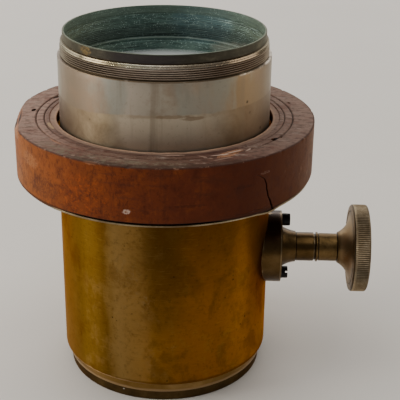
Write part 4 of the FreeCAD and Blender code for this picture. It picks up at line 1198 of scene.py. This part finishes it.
def bearing_cap():
    """Plate and flared sleeve with a groove where the flare ends."""
    bore, face, plate = 3.05 * MM, CAP_HIGH[0], HOUSING_HIGH[0]
    flare_start, flare_end = (8.1 * MM, CAP_FRONT + 0.35 * MM), (6.15 * MM, 52.4 * MM)
    sleeve = 5.75 * MM
    groove = sleeve - 0.12 * MM
    corners = [(bore, plate), (HOUSING_R, plate), (HOUSING_R, CAP_FRONT, 0.15 * MM),
               (flare_start[0], CAP_FRONT), flare_start]
    corners += arc(flare_start, flare_end, 14.0 * MM, 12)
    corners += [flare_end, (groove, 52.45 * MM), (groove, 52.7 * MM), (sleeve, 52.8 * MM),
                (sleeve, face, 0.15 * MM), (bore, face, 0.1 * MM)]
    piece = turned("bearing_sleeve", corners, 128, 0.8 * MM, along_x=True)
    install(piece, "outer_assembly", "bearing_cap", PATINA)


def cap_screws():
    """Two slotted cheese-head screws, their slots turned differently."""
    head_r = (SCREWS_HIGH[1] - SCREWS_LOW[1]) / 2
    shank, tip, top = 1.1 * MM, SCREWS_LOW[0], SCREWS_HIGH[0]
    for name, height, turn in (("cap_screw_upper", SCREWS_HIGH[2] - head_r, 4),
                               ("cap_screw_lower", SCREWS_LOW[2] + head_r, 62.5)):
        screw = lathe(name, rounded([
            (0, tip), (shank, tip), (shank, CAP_FRONT), (head_r - 0.1 * MM, CAP_FRONT, 0.1 * MM),
            (head_r, CAP_FRONT + 0.9 * MM), (head_r - 0.08 * MM, top, 0.3 * MM), (0, top)]), 48)
        slot = block("slot_cut", (-0.35 * MM, -3 * MM, top - 1.0 * MM),
                     (0.35 * MM, 3 * MM, top + 1 * MM))
        slot.data.transform(Matrix.Rotation(math.radians(90 + turn), 4, "Z"))
        carve(screw, slot)
        screw.data.transform(Matrix.Translation((0, 0, height))
                             @ Matrix.Rotation(QUARTER, 4, "Y"))
        install(screw, "outer_assembly", "cap_screws", BLUED)


def thrust_ring():
    """Bead between a wide groove and a narrow one."""
    bore, outer = 3.0 * MM, (THRUST_HIGH[1] - THRUST_LOW[1]) / 2
    low, high = THRUST_LOW[0], THRUST_HIGH[0]
    neck = outer - 0.7 * MM
    piece = lathe("thrust_collar", rounded([
        (bore, low), (neck, low), (neck, low + 0.8 * MM), (outer, low + 0.9 * MM, 0.2 * MM),
        (outer, high - 0.42 * MM, 0.2 * MM), (neck, high - 0.3 * MM), (neck, high),
        (bore, high)]), 96, along_x=True)
    install(piece, "pinion", "thrust_ring", PATINA)


def focus_knob():
    """Stem, cove, turned groove and a disc whose edge is finely knurled."""
    stem, start, crown = 5.55 * MM, KNOB_LOW[0], KNOB_HIGH[0]
    groove = stem - 0.15 * MM
    cove_start, cove_end = (6.1 * MM, 69.2 * MM), (14.3 * MM, 74.2 * MM)
    back, front = 74.4 * MM, 80.7 * MM
    band_low, band_high = back + 1.0 * MM, front - 0.9 * MM
    bore, dimple, dimple_end = 3.0 * MM, 2.2 * MM, 66 * MM
    corners = [(bore, start), (stem, start, 0.2 * MM), (stem, 68.75 * MM), (groove, 68.9 * MM),
               (groove, 69.1 * MM), cove_start]
    corners += arc(cove_start, cove_end, 9.0 * MM, 16)
    corners += [
        (*cove_end, 0.08 * MM), (14.7 * MM, 74.75 * MM), (15.1 * MM, 74.2 * MM, 0.1 * MM),
        (KNOB_R, 74.25 * MM, 1.0 * MM), (KNOB_R, band_low), (KNOB_R, band_high),
        (KNOB_R, front, 1.0 * MM), (9.0 * MM, crown - 0.12 * MM, 0.8 * MM), (4.0 * MM, crown),
        (dimple, crown), (dimple, dimple_end), (bore, dimple_end)]

    def knurl(radius, height, angle):
        if radius > KNOB_R - 0.7 * MM and band_low - 0.7 * MM < height < band_high + 0.6 * MM:
            inside = min(height - band_low + 0.7 * MM, band_high + 0.6 * MM - height)
            fade = limited(inside / (0.4 * MM))
            radius -= 0.32 * MM * wave(RIDGES * angle) * fade
        return radius, height

    piece = turned("knob", corners, RIDGES * 6, 0.45 * MM, knurl, along_x=True, steps=4)
    install(piece, "pinion", "focus_knob", PATINA)


def drive_inside():
    """Carried-over nodes that are hidden or nearly so get their materials."""
    finishes = {
        "slot_cover": MACHINED_BRASS, "focus_rack": MACHINED_BRASS, "pinion_gear": MACHINED_BRASS,
        "pinion_shaft": GROUND_STEEL, "rack_screws": BLUED, "flange_screws": BLUED,
        "front_retaining_ring": DARK_RING, "rear_spacer_ring": DARK_RING,
        "front_flint_lens": GLASS, "rear_flint_lens": GLASS}
    for name, material in finishes.items():
        for material_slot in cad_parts[name].material_slots:
            material_slot.link = "OBJECT"
            material_slot.material = material


focusing_tube()
outer_barrel()
mounting_flange()
wood_ring()
rear_cell()
rear_lock_ring()
front_cell()
lens("rear_crown_glass", "rear_crown_lens", span("rear_spacer_ring")[2], LOCK_LOW, RING_OPENING,
     REAR_GLASS)
lens("front_crown_glass", "front_crown_lens", FRONT_SEAT, FRONT_SEAT + 2.0 * MM, FRONT_OPENING,
     GLASS)
pinion_housing()
bearing_cap()
cap_screws()
thrust_ring()
focus_knob()
drive_inside()


# ---- floor, light and camera ----------------------------------------------------------------------

def floor():
    """Plain pale floor."""
    paint = Paint("pale_floor", Specular_IOR_Level=0.3)
    tone = paint.noise(6, 3).ramp([(0.3, (0.72, 0.68, 0.62)), (0.7, (0.75, 0.71, 0.65))])
    reach = 4.0
    mesh = new_mesh("floor", [(-reach, -reach, 0), (reach, -reach, 0), (reach, reach, 0),
                              (-reach, reach, 0)], [(0, 1, 2, 3)])
    mesh.materials.append(paint.done(tone, 0.75))
    add_object("floor", mesh)


def panel(name, azimuth, elevation, distance, size, power, colour):
    """A soft box that faces the object. Azimuth 0 is on the camera's side, positive to the right."""
    turn, lift = math.radians(azimuth), math.radians(elevation)
    out = Vector((math.sin(turn) * math.cos(lift), -math.cos(turn) * math.cos(lift),
                  math.sin(lift)))
    light = bpy.data.lights.new(name, "AREA")
    light.shape = "RECTANGLE"
    light.size, light.size_y = size
    light.energy = power
    light.color = colour
    lamp = add_object(name, light)
    lamp.location = Vector((0, 0, 0.07)) + out * distance
    lamp.rotation_euler = (-out).to_track_quat("-Z", "Y").to_euler()


def studio():
    """Soft daylight from the left, a weaker right side, a bright wall behind and a dim front."""
    world = bpy.data.worlds.new("studio")
    world.use_nodes = True
    sky = world.node_tree.nodes["Background"]
    sky.inputs["Color"].default_value = (0.88, 0.88, 0.90, 1)
    sky.inputs["Strength"].default_value = 0.20
    bpy.context.scene.world = world
    panel("window", -78, 20, 1.5, (0.7, 1.2), 14, (1.0, 0.97, 0.92))
    panel("left_wall", -120, 20, 1.6, (1.2, 1.0), 9, (1.0, 0.96, 0.90))
    panel("right_wall", 100, 18, 1.7, (1.2, 1.1), 8, (1.0, 0.93, 0.84))
    panel("back_wall", 180, 30, 1.6, (2.4, 1.1), 16, (1.0, 0.98, 0.95))
    panel("ceiling", -25, 78, 1.5, (1.4, 1.4), 10, (1.0, 0.99, 0.97))


def camera():
    """Camera at the viewing angle: above the rim, a little right of the axis."""
    heading, dip, roll = math.radians(91.64), math.radians(23.58), math.radians(0.747)
    forward = Vector(around(math.cos(dip), heading, -math.sin(dip)))
    right = forward.cross(Vector((0, 0, 1))).normalized()
    up = right.cross(forward)
    across = right * math.cos(roll) + up * math.sin(roll)
    upright = up * math.cos(roll) - right * math.sin(roll)
    data = bpy.data.cameras.new("camera")
    data.lens = 91.35
    data.sensor_width = 36.0
    data.clip_start = 0.01
    eye = add_object("camera", data)
    turn = Matrix((across, upright, -forward)).transposed().to_4x4()
    eye.matrix_world = Matrix.Translation((0.0244, -0.3688, 0.2291)) @ turn
    bpy.context.scene.camera = eye


floor()
studio()
camera()
